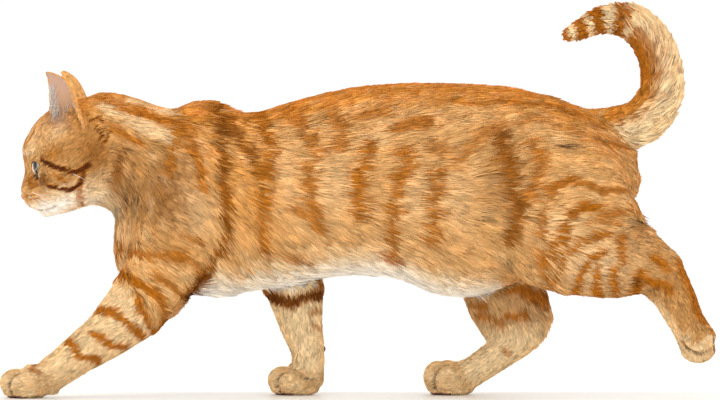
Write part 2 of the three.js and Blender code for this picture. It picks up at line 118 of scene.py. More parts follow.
# Lie of the hair along the lower legs, as (back, up).
LEG_LIE = {
    "forearm_fore_left": (-0.82, -0.57),
    "paw_fore_left": (-0.97, -0.25),
    "forearm_fore_right": (0.08, -1.0),
    "paw_fore_right": (-0.95, -0.3),
    "shank_hind_left": (0.96, -0.28),
    "metatarsus_hind_left": (0.38, -0.92),
    "paw_hind_left": (0.3, -0.95),
    "shank_hind_right": (0.35, -0.94),
    "metatarsus_hind_right": (-0.82, -0.57),
    "paw_hind_right": (-0.95, -0.3),
}
TAIL_LINE = [
    (196, 224), (216, 229), (233, 235), (246, 251), (250, 268), (247.5, 287), (240, 303),
    (228, 315.5), (212, 320), (197, 317.5), (184, 311.5), (169, 305.8),
]

# ---------------------------------------------------------------- small tools


def linear(hex_colour):
    """An sRGB hex colour as linear red, green and blue."""
    channels = [int(hex_colour[k : k + 2], 16) / 255 for k in (0, 2, 4)]
    return [c / 12.92 if c <= 0.04045 else ((c + 0.055) / 1.055) ** 2.4 for c in channels]


def smoothstep(low, high, value):
    t = np.clip((value - low) / (high - low), 0, 1)
    return t * t * (3 - 2 * t)


def unit(vectors):
    lengths = np.linalg.norm(vectors, axis=-1, keepdims=True)
    return vectors / np.maximum(lengths, 1e-9)


def ripple(points, size, seed):
    """Soft noise from -1 to 1 with waves about `size` millimetres long."""
    rng = np.random.default_rng(seed)
    total = np.zeros(len(points))
    waves = 7
    for _ in range(waves):
        heading = unit(rng.normal(size=3))
        length = size * rng.uniform(0.7, 1.5)
        total += np.sin(points @ heading * (2 * np.pi / length) + rng.uniform(0, 2 * np.pi))
    return total / math.sqrt(waves) / 1.3


def head_turned(vectors):
    """Row directions as directions of the head frame."""
    return (vectors @ HEAD_TURN) * [-1, 1, 1]


def to_head(points):
    """Row frame to head frame: forward to the nose, side to the right ear, and up."""
    return head_turned(points - HEAD_CENTRE)


def head_vector(vector):
    """Directions of the head frame as row directions."""
    return (np.asarray(vector) * [-1, 1, 1]) @ HEAD_TURN.T


def from_head(points):
    return head_vector(points) + HEAD_CENTRE


def placed(name, data):
    """A new object of the scene."""
    made = bpy.data.objects.new(name, data)
    bpy.context.scene.collection.objects.link(made)
    return made


def new_mesh(name, points, faces, smooth=True):
    """A mesh object from points in millimetres and faces that all have one corner count."""
    faces = np.asarray(faces, dtype=np.int32)
    mesh = bpy.data.meshes.new(name)
    mesh.vertices.add(len(points))
    mesh.vertices.foreach_set("co", (np.asarray(points, dtype=np.float32) * MM).ravel())
    mesh.loops.add(faces.size)
    mesh.loops.foreach_set("vertex_index", faces.ravel())
    mesh.polygons.add(len(faces))
    starts = np.arange(len(faces), dtype=np.int32) * faces.shape[1]
    mesh.polygons.foreach_set("loop_start", starts)
    mesh.update(calc_edges=True)
    if smooth:
        mesh.shade_smooth()
    return placed(name, mesh)


def note(mesh, name, values):
    """Keeps one number for each point of a mesh, for its material to read."""
    layer = mesh.attributes.new(name, "FLOAT", "POINT")
    layer.data.foreach_set("value", np.asarray(values, dtype=np.float32))


def points_of(mesh):
    points = np.empty(len(mesh.vertices) * 3, dtype=np.float32)
    mesh.vertices.foreach_get("co", points)
    return points.reshape(-1, 3).astype(float) / MM


def move_points(mesh, points):
    mesh.vertices.foreach_set("co", (points * MM).astype(np.float32).ravel())


def triangles_of(mesh):
    mesh.calc_loop_triangles()
    corners = np.empty(len(mesh.loop_triangles) * 3, dtype=np.int32)
    mesh.loop_triangles.foreach_get("vertices", corners)
    return corners.reshape(-1, 3)


def edges_of(mesh):
    ends = np.empty(len(mesh.edges) * 2, dtype=np.int32)
    mesh.edges.foreach_get("vertices", ends)
    return ends.reshape(-1, 2)


def with_modifiers(piece):
    """A new mesh of a piece with its modifiers applied."""
    depsgraph = bpy.context.evaluated_depsgraph_get()
    return bpy.data.meshes.new_from_object(piece.evaluated_get(depsgraph))


def surface(points, triangles):
    """A tree that finds the nearest place on a surface."""
    return BVHTree.FromPolygons(points.tolist(), triangles.tolist())


def nearest_point(places, points):
    """The number in `places` of the place nearest to each point."""
    tree = KDTree(len(places))
    for number, place in enumerate(places.tolist()):
        tree.insert(place, number)
    tree.balance()
    return np.array([tree.find(point)[1] for point in points.tolist()])


def normals_at(points, triangles):
    a, b, c = (points[triangles[:, k]] for k in range(3))
    crosses = np.cross(b - a, c - a)
    total = np.zeros_like(points)
    for k in range(3):
        for axis in range(3):
            total[:, axis] += np.bincount(triangles[:, k], crosses[:, axis], len(points))
    return unit(total)


def spread(values, edges, rounds, share=0.5):
    """Evens out values over neighbouring points, by a share each round."""
    values = np.array(values, dtype=float)
    flat = values.reshape(len(values), -1)
    count = np.bincount(edges.ravel(), minlength=len(flat)).clip(1)[:, None]
    share = np.broadcast_to(np.asarray(share, dtype=float).reshape(-1, 1), (len(flat), 1))
    a, b = edges.T
    for _ in range(rounds):
        total = np.empty_like(flat)
        for axis in range(flat.shape[1]):
            total[:, axis] = np.bincount(a, flat[b, axis], len(flat))
            total[:, axis] += np.bincount(b, flat[a, axis], len(flat))
        flat += share * (total / count - flat)
    return flat.reshape(values.shape)


# ---------------------------------------------------------------- the skin


def kind_of(node):
    """The row of COAT that a node takes."""
    return next(kind for kind in COAT if node.startswith(kind))


def flesh_object():
    """All flesh, with the eyeballs as bulges, swollen a little so that the cuts close."""
    joined = bmesh.new()
    coarse = [name for name in FLESH if not name.startswith("ear")]
    for name in [*coarse, "eye_left", "eye_right", "nose"]:
        piece = bmesh.new()
        piece.from_mesh(NODES[name].data)
        bmesh.ops.remove_doubles(piece, verts=piece.verts, dist=1e-6)
        if name in PAW_PLACES:
            trim_toes(piece, name)
        piece.normal_update()
        for vertex in piece.verts:
            vertex.co += vertex.normal * SWELL * MM
        swollen = bpy.data.meshes.new(name)
        piece.to_mesh(swollen)
        piece.free()
        joined.from_mesh(swollen)
        bpy.data.meshes.remove(swollen)
    for points, faces in fine_forms():
        corners = [joined.verts.new(point) for point in (points * MM).tolist()]
        for face in faces:
            joined.faces.new([corners[k] for k in face])
    mesh = bpy.data.meshes.new("flesh")
    joined.to_mesh(mesh)
    joined.free()
    return placed("flesh", mesh)


def trim_toes(piece, name):
    """Cuts a paw off behind its toes, so that finer toes can be set there."""
    knuckle, ahead = from_paw(name, [(TOE["knuckle"], 0, 9), (TOE["knuckle"] + 1, 0, 9)])
    everything = [*piece.verts, *piece.edges, *piece.faces]
    bmesh.ops.bisect_plane(
        piece, geom=everything, plane_co=knuckle * MM, plane_no=ahead - knuckle, clear_outer=True
    )
    bmesh.ops.holes_fill(piece, edges=[edge for edge in piece.edges if edge.is_boundary])


def largest_piece(mesh):
    """Marks the points of the largest connected piece."""
    edges = edges_of(mesh)
    label = np.arange(len(mesh.vertices))
    while True:
        lowest = label.copy()
        np.minimum.at(lowest, edges[:, 0], label[edges[:, 1]])
        np.minimum.at(lowest, edges[:, 1], label[edges[:, 0]])
        lowest = lowest[lowest]
        if np.array_equal(lowest, label):
            break
        label = lowest
    return label == np.bincount(label).argmax()


def one_skin():
    """The flesh as one closed mesh of even grain."""
    flesh = flesh_object()
    remesh = flesh.modifiers.new("One skin", "REMESH")
    remesh.mode = "VOXEL"
    remesh.voxel_size = VOXEL * MM
    mesh = with_modifiers(flesh)
    bpy.data.objects.remove(flesh)
    keep = largest_piece(mesh)
    work = bmesh.new()
    work.from_mesh(mesh)
    spare = [vertex for vertex, kept in zip(work.verts, keep) if not kept]
    bmesh.ops.delete(work, geom=spare, context="VERTS")
    work.to_mesh(mesh)
    work.free()
    return mesh


def nearest_nodes(points):
    """The number in FLESH of the node whose surface is nearest to each point."""
    corners, faces, owners = [], [], []
    for number, name in enumerate(FLESH):
        mesh = NODES[name].data
        first = sum(len(part) for part in corners)
        corners.append(points_of(mesh))
        triangles = triangles_of(mesh)
        faces.append(triangles + first)
        owners += [number] * len(triangles)
    tree = surface(np.concatenate(corners), np.concatenate(faces))
    return np.array([owners[tree.find_nearest(point)[2]] for point in points.tolist()])


def refine(mesh, wanted):
    """Splits each face whose middle is wanted into four."""
    work = bmesh.new()
    work.from_mesh(mesh)
    middles = np.array([[*face.calc_center_median()] for face in work.faces]) / MM
    chosen = wanted(middles)
    edges = {edge for face, take in zip(work.faces, chosen) if take for edge in face.edges}
    bmesh.ops.subdivide_edges(work, edges=list(edges), cuts=1, use_grid_fill=True)
    bmesh.ops.triangulate(work, faces=[face for face in work.faces if len(face.verts) > 4])
    work.to_mesh(mesh)
    work.free()


# ---------------------------------------------------------------- forms of the face and feet

# Low swellings and hollows of the face: forward, side, up, reach and height. All are paired.
FACE_FORMS = [
    (-13, 27, 30, 9, -3.2),  # floor of the ear's cup
    (26, 5, 24, 9, 0.9),  # forehead
    (35, 4, 8, 6, -0.7),  # stop
    (22, 11, 15, 6, 0.5),  # brow
    (21, 25, -10, 8, 0.8),  # cheek under the eye
    (39, 9.5, -17, 7, 1.1),  # whisker pad
    (28, 19, -17, 6, -0.9),  # between the pad and the cheek
    (35, 7.5, 1, 4.5, -0.8),  # beside the bridge of the nose
    (36, 3, -31, 7, 0.5),  # chin
]
LIDS = {"inner": (-56, -20), "outer": (48, 10), "arch_up": 37, "arch_down": 30, "thick": 0.8}

# Fine grooves of the head, in its own frame, and of a paw (forward from the heel, side, up).
MOUTH = [(46, 0, -21), (44.5, 4, -23.2), (41.5, 8, -26.2), (37, 11.5, -28.6), (31.5, 15, -30.4),
         (26.5, 18, -30.2)]
PHILTRUM = [(48, 0, -15), (47, 0, -18), (46, 0, -21)]
TOE_CLEFTS = [
    [(28.5, 0, 23), (35.5, 0, 21), (40.5, 0, 16), (42.5, 0, 9), (41.5, 0, 2)],
    [(21, 8.4, 21), (28, 8.7, 18.5), (32.5, 9.4, 13), (33.1, 10.0, 7), (30.5, 10.4, 1)],
]
WRIST_FOLD = [(-52, 15, 30.4), (-43, 13, 23.7), (-31.8, 15, 21.2)]  # of the far fore paw
PAW_PLACES = {  # heel of each paw, its turn over the toes, slack below and height above
    "paw_fore_left": ((-249, -27.5, SOLE), 0, 0, 0),
    "paw_fore_right": ((-31.8, 28, SOLE), 0, 0, 0),
    "paw_hind_left": ((283.6, -31, 81.3), -97, 6, 0),
    "paw_hind_right": ((98.5, 30, SOLE), 0, 0, 4.6),
}
# Flesh that fills corners at the tail's root, near thigh, near wrist and throat: place, size.
FILLS = [
    ((206, 0, 234), (24, 11, 12.5)),
    ((226, 0, 216), (12, 12, 10)),
    ((198, 0, 238.5), (18, 11, 11.5)),
    ((230, -28, 141), (14, 12, 9)),
    ((214, -22, 158), (18, 16, 17)),
    ((-251, -27.5, 18), (9, 9, 7.5)),
    ((-228, 0, 172.5), (16, 11, 9)),
]
TOE = {"forward": (31.7, 22.2), "side": (5.0, 12.2), "tall": (12.2, 10.2), "knuckle": 23}

# An ear: a cupped leaf that opens forward and outward. The near one is fuller toward its tip.
EAR = {
    "base": (-18, 29, 12), "tip": (-24.5, 39, 67.8), "opening": 52.0, "bow": 6.0, "ahead": 3.0,
    "thick": 2.4, "arc": 24, "fullness": {-1: 2.6, 1: 1.2},
}


def paw_turn(name):
    return np.array(Euler((0, math.radians(PAW_PLACES[name][1]), 0)).to_matrix())


def from_paw(name, points):
    """Paw frame (forward from the heel, side, up) to row frame."""
    turned = (np.asarray(points, dtype=float) * [-1, 1, 1]) @ paw_turn(name).T
    return turned + PAW_PLACES[name][0]


def ball(place, size, columns=28, rows=18):
    """Points and triangles of a closed ball with its own size each way."""
    turn = np.linspace(0, 2 * np.pi, columns, endpoint=False)
    lift = np.linspace(-np.pi / 2, np.pi / 2, rows + 1)[1:-1]
    rings = [
        np.stack([np.cos(e) * np.cos(turn), np.cos(e) * np.sin(turn), np.full(columns, np.sin(e))], 1)
        for e in lift
    ]
    points = np.concatenate([*rings, [[0, 0, -1], [0, 0, 1]]])
    return points * size + place, closed_faces(len(rings), columns)


def closed_faces(rings, sides):
    """Triangles between rings of points, closed by fans to the two points that follow them."""
    faces = []
    for r in range(rings - 1):
        for s in range(sides):
            a = r * sides + s
            b = r * sides + (s + 1) % sides
            faces += [(a, b, b + sides), (a, b + sides, a + sides)]
    low, high, last = rings * sides, rings * sides + 1, (rings - 1) * sides
    for s in range(sides):
        after = (s + 1) % sides
        faces += [(low, after, s), (high, last + s, last + after)]
    return faces


def capped(rings):
    """Points and triangles of a closed body from rings of equal length, fanned at both ends."""
    rings = [np.asarray(ring, dtype=float) for ring in rings]
    points = np.concatenate([*rings, [rings[0].mean(0)], [rings[-1].mean(0)]])
    return points, closed_faces(len(rings), len(rings[0]))


def ear_axes(side):
    """The ways an ear opens and spreads, in the head frame."""
    opening = math.radians(EAR["opening"])
    ahead = np.array([math.cos(opening), side * math.sin(opening), 0])
    across = np.array([math.sin(opening), -side * math.cos(opening), 0])
    return ahead, across


def ear_section(t, side, thickness, angles, inner):
    """A row of points round the cup or the back of an ear, at a share t of its height."""
    ahead, across = ear_axes(side)
    base, tip = (np.array(EAR[end]) * [1, side, 1] for end in ("base", "tip"))
    middle = base + (tip - base) * t - [EAR["bow"] * math.sin(0.9 * math.pi * t**2.2), 0, 0]
    reach = 1.2 + 17.5 * (1 - t ** EAR["fullness"][side]) ** 0.9
    depth, shift = 1.8 + 14 * (1 - t) ** 0.8, EAR["ahead"]
    if inner:
        thick = thickness * (1 - 0.3 * t)
        reach, depth, shift = reach - 0.6 * thick, depth - 0.75 * thick, shift + 0.3 * thick
    outward = np.outer(reach * np.cos(angles), across)
    return middle + outward + np.outer(shift - depth * np.sin(angles), ahead)


def ear_leaf(side, thickness, rings=40):
    """Points and triangles of one ear: its convex back joined to its hollow front."""
    angles = np.linspace(0, np.pi, EAR["arc"])
    made = []
    for t in np.linspace(0, 1, rings):
        back = ear_section(t, side, thickness, angles, False)
        made.append(np.concatenate([back, ear_section(t, side, thickness, angles, True)[::-1]]))
    points, faces = capped(made)
    return from_head(points), faces


def ear_facing(local, normals):
    """From 1 in the cup of an ear to -1 on its back, for places in the head frame."""
    side = np.sign(local[:, 1])[:, None]
    base, tip = (np.array(EAR[end]) for end in ("base", "tip"))
    t = ((local[:, 2] - base[2]) / (tip[2] - base[2])).clip(0, 1)[:, None]
    axis = base + (tip - base) * t + EAR["ahead"] * ear_axes(1)[0]
    axis[:, :1] -= EAR["bow"] * np.sin(0.9 * math.pi * t**2.2)
    away = (local - axis * np.hstack([np.ones_like(side), side, np.ones_like(side)])) * [1, 1, 0]
    return -(unit(away) * normals).sum(1)


def fine_forms():
    """Ears and toes made finer than their nodes, in the nodes' own places and sizes."""
    forms = [ear_leaf(side, 4.8) for side in (-1, 1)]
    forms += [ball(place, size) for place, size in FILLS]
    for name in PAW_PLACES:
        slack, height = (share / 2 for share in PAW_PLACES[name][2:])
        grown, centre = slack + height, height - slack
        points, faces = ball((TOE["knuckle"], 0, 12.5 + centre), (15, 12, 12.5 + grown))
        forms.append((from_paw(name, points), faces))
        for forward, side, tall in zip(TOE["forward"], TOE["side"], TOE["tall"]):
            for sign in (-1, 1):
                points, faces = ball((0, 0, 0), (13, 6.5, tall + grown))
                points = points + [forward, sign * side, tall + centre]
                forms.append((from_paw(name, points), faces))
    return forms


def eye_centre(side):
    return np.array([EYE["forward"], side * EYE["side"], EYE["up"]])


def eye_axes(side):
    """Outward, upward and ahead as an eye looks, in the head frame."""
    turn, lift = math.radians(EYE["turn"]), math.radians(EYE["lift"])
    level = math.cos(lift)
    ahead = np.array([math.cos(turn) * level, side * math.sin(turn) * level, math.sin(lift)])
    outward = np.array([-math.sin(turn), side * math.cos(turn), 0])
    return outward, np.cross(ahead, outward) * side, ahead


def lid_gap(points, side):
    """How far inside the opening of an eye each point looks, in degrees, and its distance."""
    outward, upward, ahead = eye_axes(side)
    seen = points - eye_centre(side)
    x, y, z = seen @ outward, seen @ upward, seen @ ahead
    turned = np.degrees(np.arctan2(x, z))
    lifted = np.degrees(np.arctan2(y, np.hypot(x, z)))
    (in_turn, in_lift), (out_turn, out_lift) = LIDS["inner"], LIDS["outer"]
    t = (turned - in_turn) / (out_turn - in_turn)
    inside = np.sin(np.pi * np.clip(t, 0, 1))
    level = in_lift + (out_lift - in_lift) * np.clip(t, 0, 1)
    upper = level + LIDS["arch_up"] * inside**0.7 - lifted
    lower = lifted - level + LIDS["arch_down"] * inside**0.8
    past = np.maximum(in_turn - turned, turned - out_turn).clip(0)
    gap = np.minimum(upper, lower)
    gap = np.where(past > 0, -np.hypot(past, lifted - level), gap)
    return gap, np.linalg.norm(seen, axis=1)


def shape_eyes(points):
    """Draws the skin over each eyeball into lids and clears the opening between them."""
    local = to_head(points)
    rim = np.full(len(points), -90.0)
    for side in (-1, 1):
        centre = eye_centre(side)
        near = np.linalg.norm(local - centre, axis=1) < EYE["radius"] + 13
        gap, distance = lid_gap(local[near], side)
        away = (local[near] - centre) / np.maximum(distance, 1e-6)[:, None]
        lid = EYE["radius"] + LIDS["thick"]
        hold = smoothstep(-36, -7, gap) * (1 - smoothstep(4, 9, distance - EYE["radius"]))
        target = distance + hold * (lid - distance)
        target += smoothstep(-1.0, 3.5, gap) * (4.8 - lid)
        fold = np.exp(-(((gap + 20) / 5.0) ** 2)) * smoothstep(0, 6, away[:, 2] * 10 - 1)
        target -= 0.7 * fold
        local[near] = centre + away * target[:, None]
        rim[near] = np.maximum(rim[near], gap - 9 * (target - EYE["radius"] - 3).clip(0))
    return from_head(local), rim


def shape_face(points, normals):
    local = to_head(points)
    raised = np.zeros(len(points))
    for forward, side, up, reach, height in FACE_FORMS:
        for sign in (-1, 1):
            away = np.linalg.norm(local - [forward, sign * side, up], axis=1)
            raised += height * np.exp(-((away / reach) ** 2))
    nose = np.linalg.norm((local - NOSE_PLACE) / [5.5, 5.8, 4.6], axis=1)
    raised -= 1.4 * (1 - smoothstep(0.7, 1.05, nose)) * smoothstep(38, 43, local[:, 0])
    return points + normals * raised[:, None]


def on_surface(tree, line, step=0.6):
    """A line of points laid down on the skin, at even steps."""
    line = np.asarray(line, dtype=float)
    lengths = np.concatenate([[0], np.cumsum(np.linalg.norm(np.diff(line, axis=0), axis=1))])
    stops = np.arange(0, lengths[-1], step)
    laid = np.stack([np.interp(stops, lengths, line[:, k]) for k in range(3)], axis=1)
    return np.array([tree.find_nearest(point)[0] for point in laid.tolist()])


def groove(points, line, width, depth):
    """How deep each point lies in a groove along a laid line."""
    low, high = line.min(0) - 2 * width, line.max(0) + 2 * width
    near = np.all((points > low) & (points < high), axis=1)
    away = np.full(len(points), FAR)
    if near.any():
        gaps = points[near][:, None, :] - line[None, :, :]
        away[near] = np.sqrt((gaps**2).sum(2).min(1))
    return depth * np.exp(-((away / width) ** 2))


def carve(points, triangles):
    """Cuts the mouth, the philtrum and the toe clefts, and tells where they are."""
    tree = surface(points, triangles)
    normals = normals_at(points, triangles)
    sunk = np.zeros(len(points))
    lines = [(from_head(PHILTRUM), 0.8, 1.0)]
    for sign in (-1, 1):
        lines.append((from_head(np.array(MOUTH) * [1, sign, 1]), 1.1, 1.4))
    lines.append((np.array(WRIST_FOLD, dtype=float), 0.9, 1.6))
    for name in PAW_PLACES:
        for cleft in TOE_CLEFTS:
            for sign in (-1, 1) if cleft[0][1] else (1,):
                lines.append((from_paw(name, np.array(cleft) * [1, sign, 1]), 1.2, 2.0))
    for line, width, depth in lines:
        sunk = np.maximum(sunk, groove(points, on_surface(tree, line), width, depth))
    return points - normals * sunk[:, None], sunk


# ---------------------------------------------------------------- building the skin


def coat_depth(points, owner, edges):
    """Depth of the coat at each point of the flesh, thin where the form itself is thin."""
    depth = np.array([COAT[kind_of(name)][0] for name in FLESH])[owner]
    tail = np.array([name.startswith("tail") for name in FLESH])[owner]
    _, _, reach = tail_place(points)
    depth[tail] = np.minimum(depth[tail], 0.5 * reach[tail])
    depth = spread(depth, edges, 25)
    local = to_head(points)
    depth *= 1 - 0.5 * smoothstep(12, 36, local[:, 0]) * (np.linalg.norm(local, axis=1) < 62)
    return depth


def tail_place(points):
    """Millimetres along the tail, outward across it (signed) and away from its middle line."""
    flat = points[:, [0, 2]]
    best = np.full(len(points), FAR)
    along, across = np.zeros(len(points)), np.zeros(len(points))
    gone = 0.0
    for start, end in zip(TAIL_LINE, TAIL_LINE[1:]):
        start, run = np.array(start), np.subtract(end, start)
        length = np.linalg.norm(run)
        t = np.clip((flat - start) @ run / length**2, 0, 1)
        away = flat - start - t[:, None] * run
        distance = np.linalg.norm(away, axis=1)
        closer = distance < best
        best = np.where(closer, distance, best)
        along = np.where(closer, gone + t * length, along)
        outward = np.array([run[1], -run[0]]) / length
        across = np.where(closer, away @ outward, across)
        gone += length
    return along, across, np.hypot(best, points[:, 1])


def settle_ears(points, owner, normals):
    """Lays the ears' skin on thin cupped leaves, each side on its own, down to the head."""
    ears = np.char.startswith(np.array(FLESH)[owner], "ear")
    local = to_head(points)
    inside = ear_facing(local, head_turned(normals)) > 0
    for side in (-1, 1):
        leaf, faces = ear_leaf(side, EAR["thick"])
        faces = np.array(faces)
        hollow = (np.arange(len(leaf)) % (2 * EAR["arc"]) >= EAR["arc"])[faces]
        for cup in (False, True):
            tree = surface(leaf, faces[np.all(hollow == cup, axis=1)])
            mine = ears & (local[:, 1] * side > 0) & (local[:, 2] > 22) & (inside == cup)
            chosen = np.flatnonzero(mine)
            held = smoothstep(22, 40, local[chosen, 2])[:, None]
            laid = np.array([tree.find_nearest(point)[0] for point in points[chosen].tolist()])
            points[chosen] += held * (laid - points[chosen])
    return points


def sculpt_skin():
    """The finished skin: points, triangles and what is known at each point."""
    mesh = one_skin()
    points, edges = points_of(mesh), edges_of(mesh)
    owner = nearest_nodes(points)
    rounds = np.array([COAT[kind_of(name)][4] for name in FLESH])[owner].astype(float)
    forward = to_head(points)[:, 0]
    rounds *= 1 - 0.7 * smoothstep(22, 34, forward) * (points[:, 0] < -230)
    rounds = spread(rounds, edges, 12)
    most = rounds.max()
    lost = points - spread(points, edges, int(most), 0.5 * rounds / most)
    points = points - lost + spread(lost, edges, int(most), 0.5 * rounds / most)
    move_points(mesh, points)

    refine(mesh, lambda middles: face_area(middles) | toe_area(middles) | ear_area(middles))
    refine(mesh, eye_area)
    points, triangles, edges = points_of(mesh), triangles_of(mesh), edges_of(mesh)
    normals = normals_at(points, triangles)
    points = shape_face(points, normals)
    owner = nearest_nodes(points)

    depth = coat_depth(points, owner, edges)
    normals = spread(normals_at(points, triangles), edges, 3)
    sunken = depth + SWELL
    standing = (points[:, 2] < SOLE + 4) & (normals[:, 2] < -0.6)
    sunken[standing] = SWELL
    points = points - unit(normals) * sunken[:, None]
    points = settle_ears(points, owner, unit(normals))
    points, rim = shape_eyes(points)
    near_lids = smoothstep(-70, -50, rim) * (1 - smoothstep(-13, -9, rim))
    points = spread(points, edges, 50, 0.5 * near_lids)
    points, sunk = carve(points, triangles)
    points[:, 2] = np.maximum(points[:, 2], SOLE)
    move_points(mesh, points)
    mesh.update()
    return {
        "mesh": mesh,
        "points": points,
        "triangles": triangles,
        "edges": edges,
        "normals": normals_at(points, triangles),
        "owner": owner,
        "depth": depth,
        "rim": rim,
        "sunk": sunk,
    }


def face_area(middles):
    local = to_head(middles)
    return (local[:, 0] > 4) & (np.linalg.norm(local - [25, 0, -8], axis=1) < 46)


def ear_area(middles):
    local = to_head(middles)
    return (local[:, 2] > 24) & (np.abs(local[:, 1]) > 14) & (np.abs(local[:, 0] + 21) < 24)


def eye_area(middles):
    local = to_head(middles)
    centre = [EYE["forward"] + 5, EYE["side"] + 3, EYE["up"]]
    return np.linalg.norm(np.abs(local * [0, 1, 0]) + local * [1, 0, 1] - centre, axis=1) < 14.5


def toe_area(middles):
    near = np.zeros(len(middles), dtype=bool)
    for name in PAW_PLACES:
        toes = from_paw(name, [(36, 0, 10)])[0]
        near |= np.linalg.norm(middles - toes, axis=1) < 22
    return near


# ---------------------------------------------------------------- the lie of the coat


def weighted(points2, places, reach):
    """Gaussian weights of places felt at points, as a matrix that sums to one on each row."""
    gaps = ((points2[:, None, :] - places[None, :, :]) ** 2).sum(2) / (2 * reach**2)
    weights = np.exp(gaps.min(1, keepdims=True) - gaps)
    return weights / weights.sum(1, keepdims=True)


def lie_of(skin):
    """The way the hair runs at each point of the skin, as unit vectors along the surface."""
    points, owner, normals = skin["points"], skin["owner"], skin["normals"]
    names = np.array(FLESH)[owner]
    places = np.array([row[:2] for row in LIE], dtype=float)
    angles = np.radians([row[2] for row in LIE])
    share = weighted(points[:, [0, 2]], places, LIE_REACH)
    flow = np.zeros_like(points)
    flow[:, 0] = share @ np.cos(angles)
    flow[:, 2] = share @ -np.sin(angles)
    for node, (back, up) in LEG_LIE.items():
        flow[names == node] = (back, 0, up)

    tail = np.char.startswith(names, "tail")
    along, across, _ = tail_place(points)
    line = np.array(TAIL_LINE, dtype=float)
    gone = np.concatenate([[0], np.cumsum(np.linalg.norm(np.diff(line, axis=0), axis=1))])
    heading = unit(np.gradient(line, gone, axis=0))
    run = np.stack([np.interp(along, gone, heading[:, k]) for k in range(2)], axis=1)
    outward = np.stack([run[:, 1], -run[:, 0]], axis=1)
    fan = 0.75 * smoothstep(25, 60, along) * (1 - smoothstep(95, 135, along))
    run = unit(run) + (fan * smoothstep(-0.6, 0.8, across / 12))[:, None] * outward
    flow[tail] = np.stack([run[:, 0], 0.35 * np.sign(points[:, 1]) * fan, run[:, 1]], axis=1)[tail]

    local = to_head(points)
    face = np.char.startswith(names, "head") | np.char.startswith(names, "lower")
    radial = local - [47, 0, -7]
    flow[face] = unit(head_vector(radial))[face]
    ears = np.char.startswith(names, "ear")
    rise = np.tile(np.array(EAR["tip"]) - EAR["base"], (len(points), 1))
    rise[:, 1] *= np.sign(local[:, 1])
    flow[ears] = unit(head_vector(rise))[ears]

    flow = spread(unit(flow), skin["edges"], 22)
    flow -= normals * (flow * normals).sum(1, keepdims=True)
    return unit(flow)


# ---------------------------------------------------------------- markings

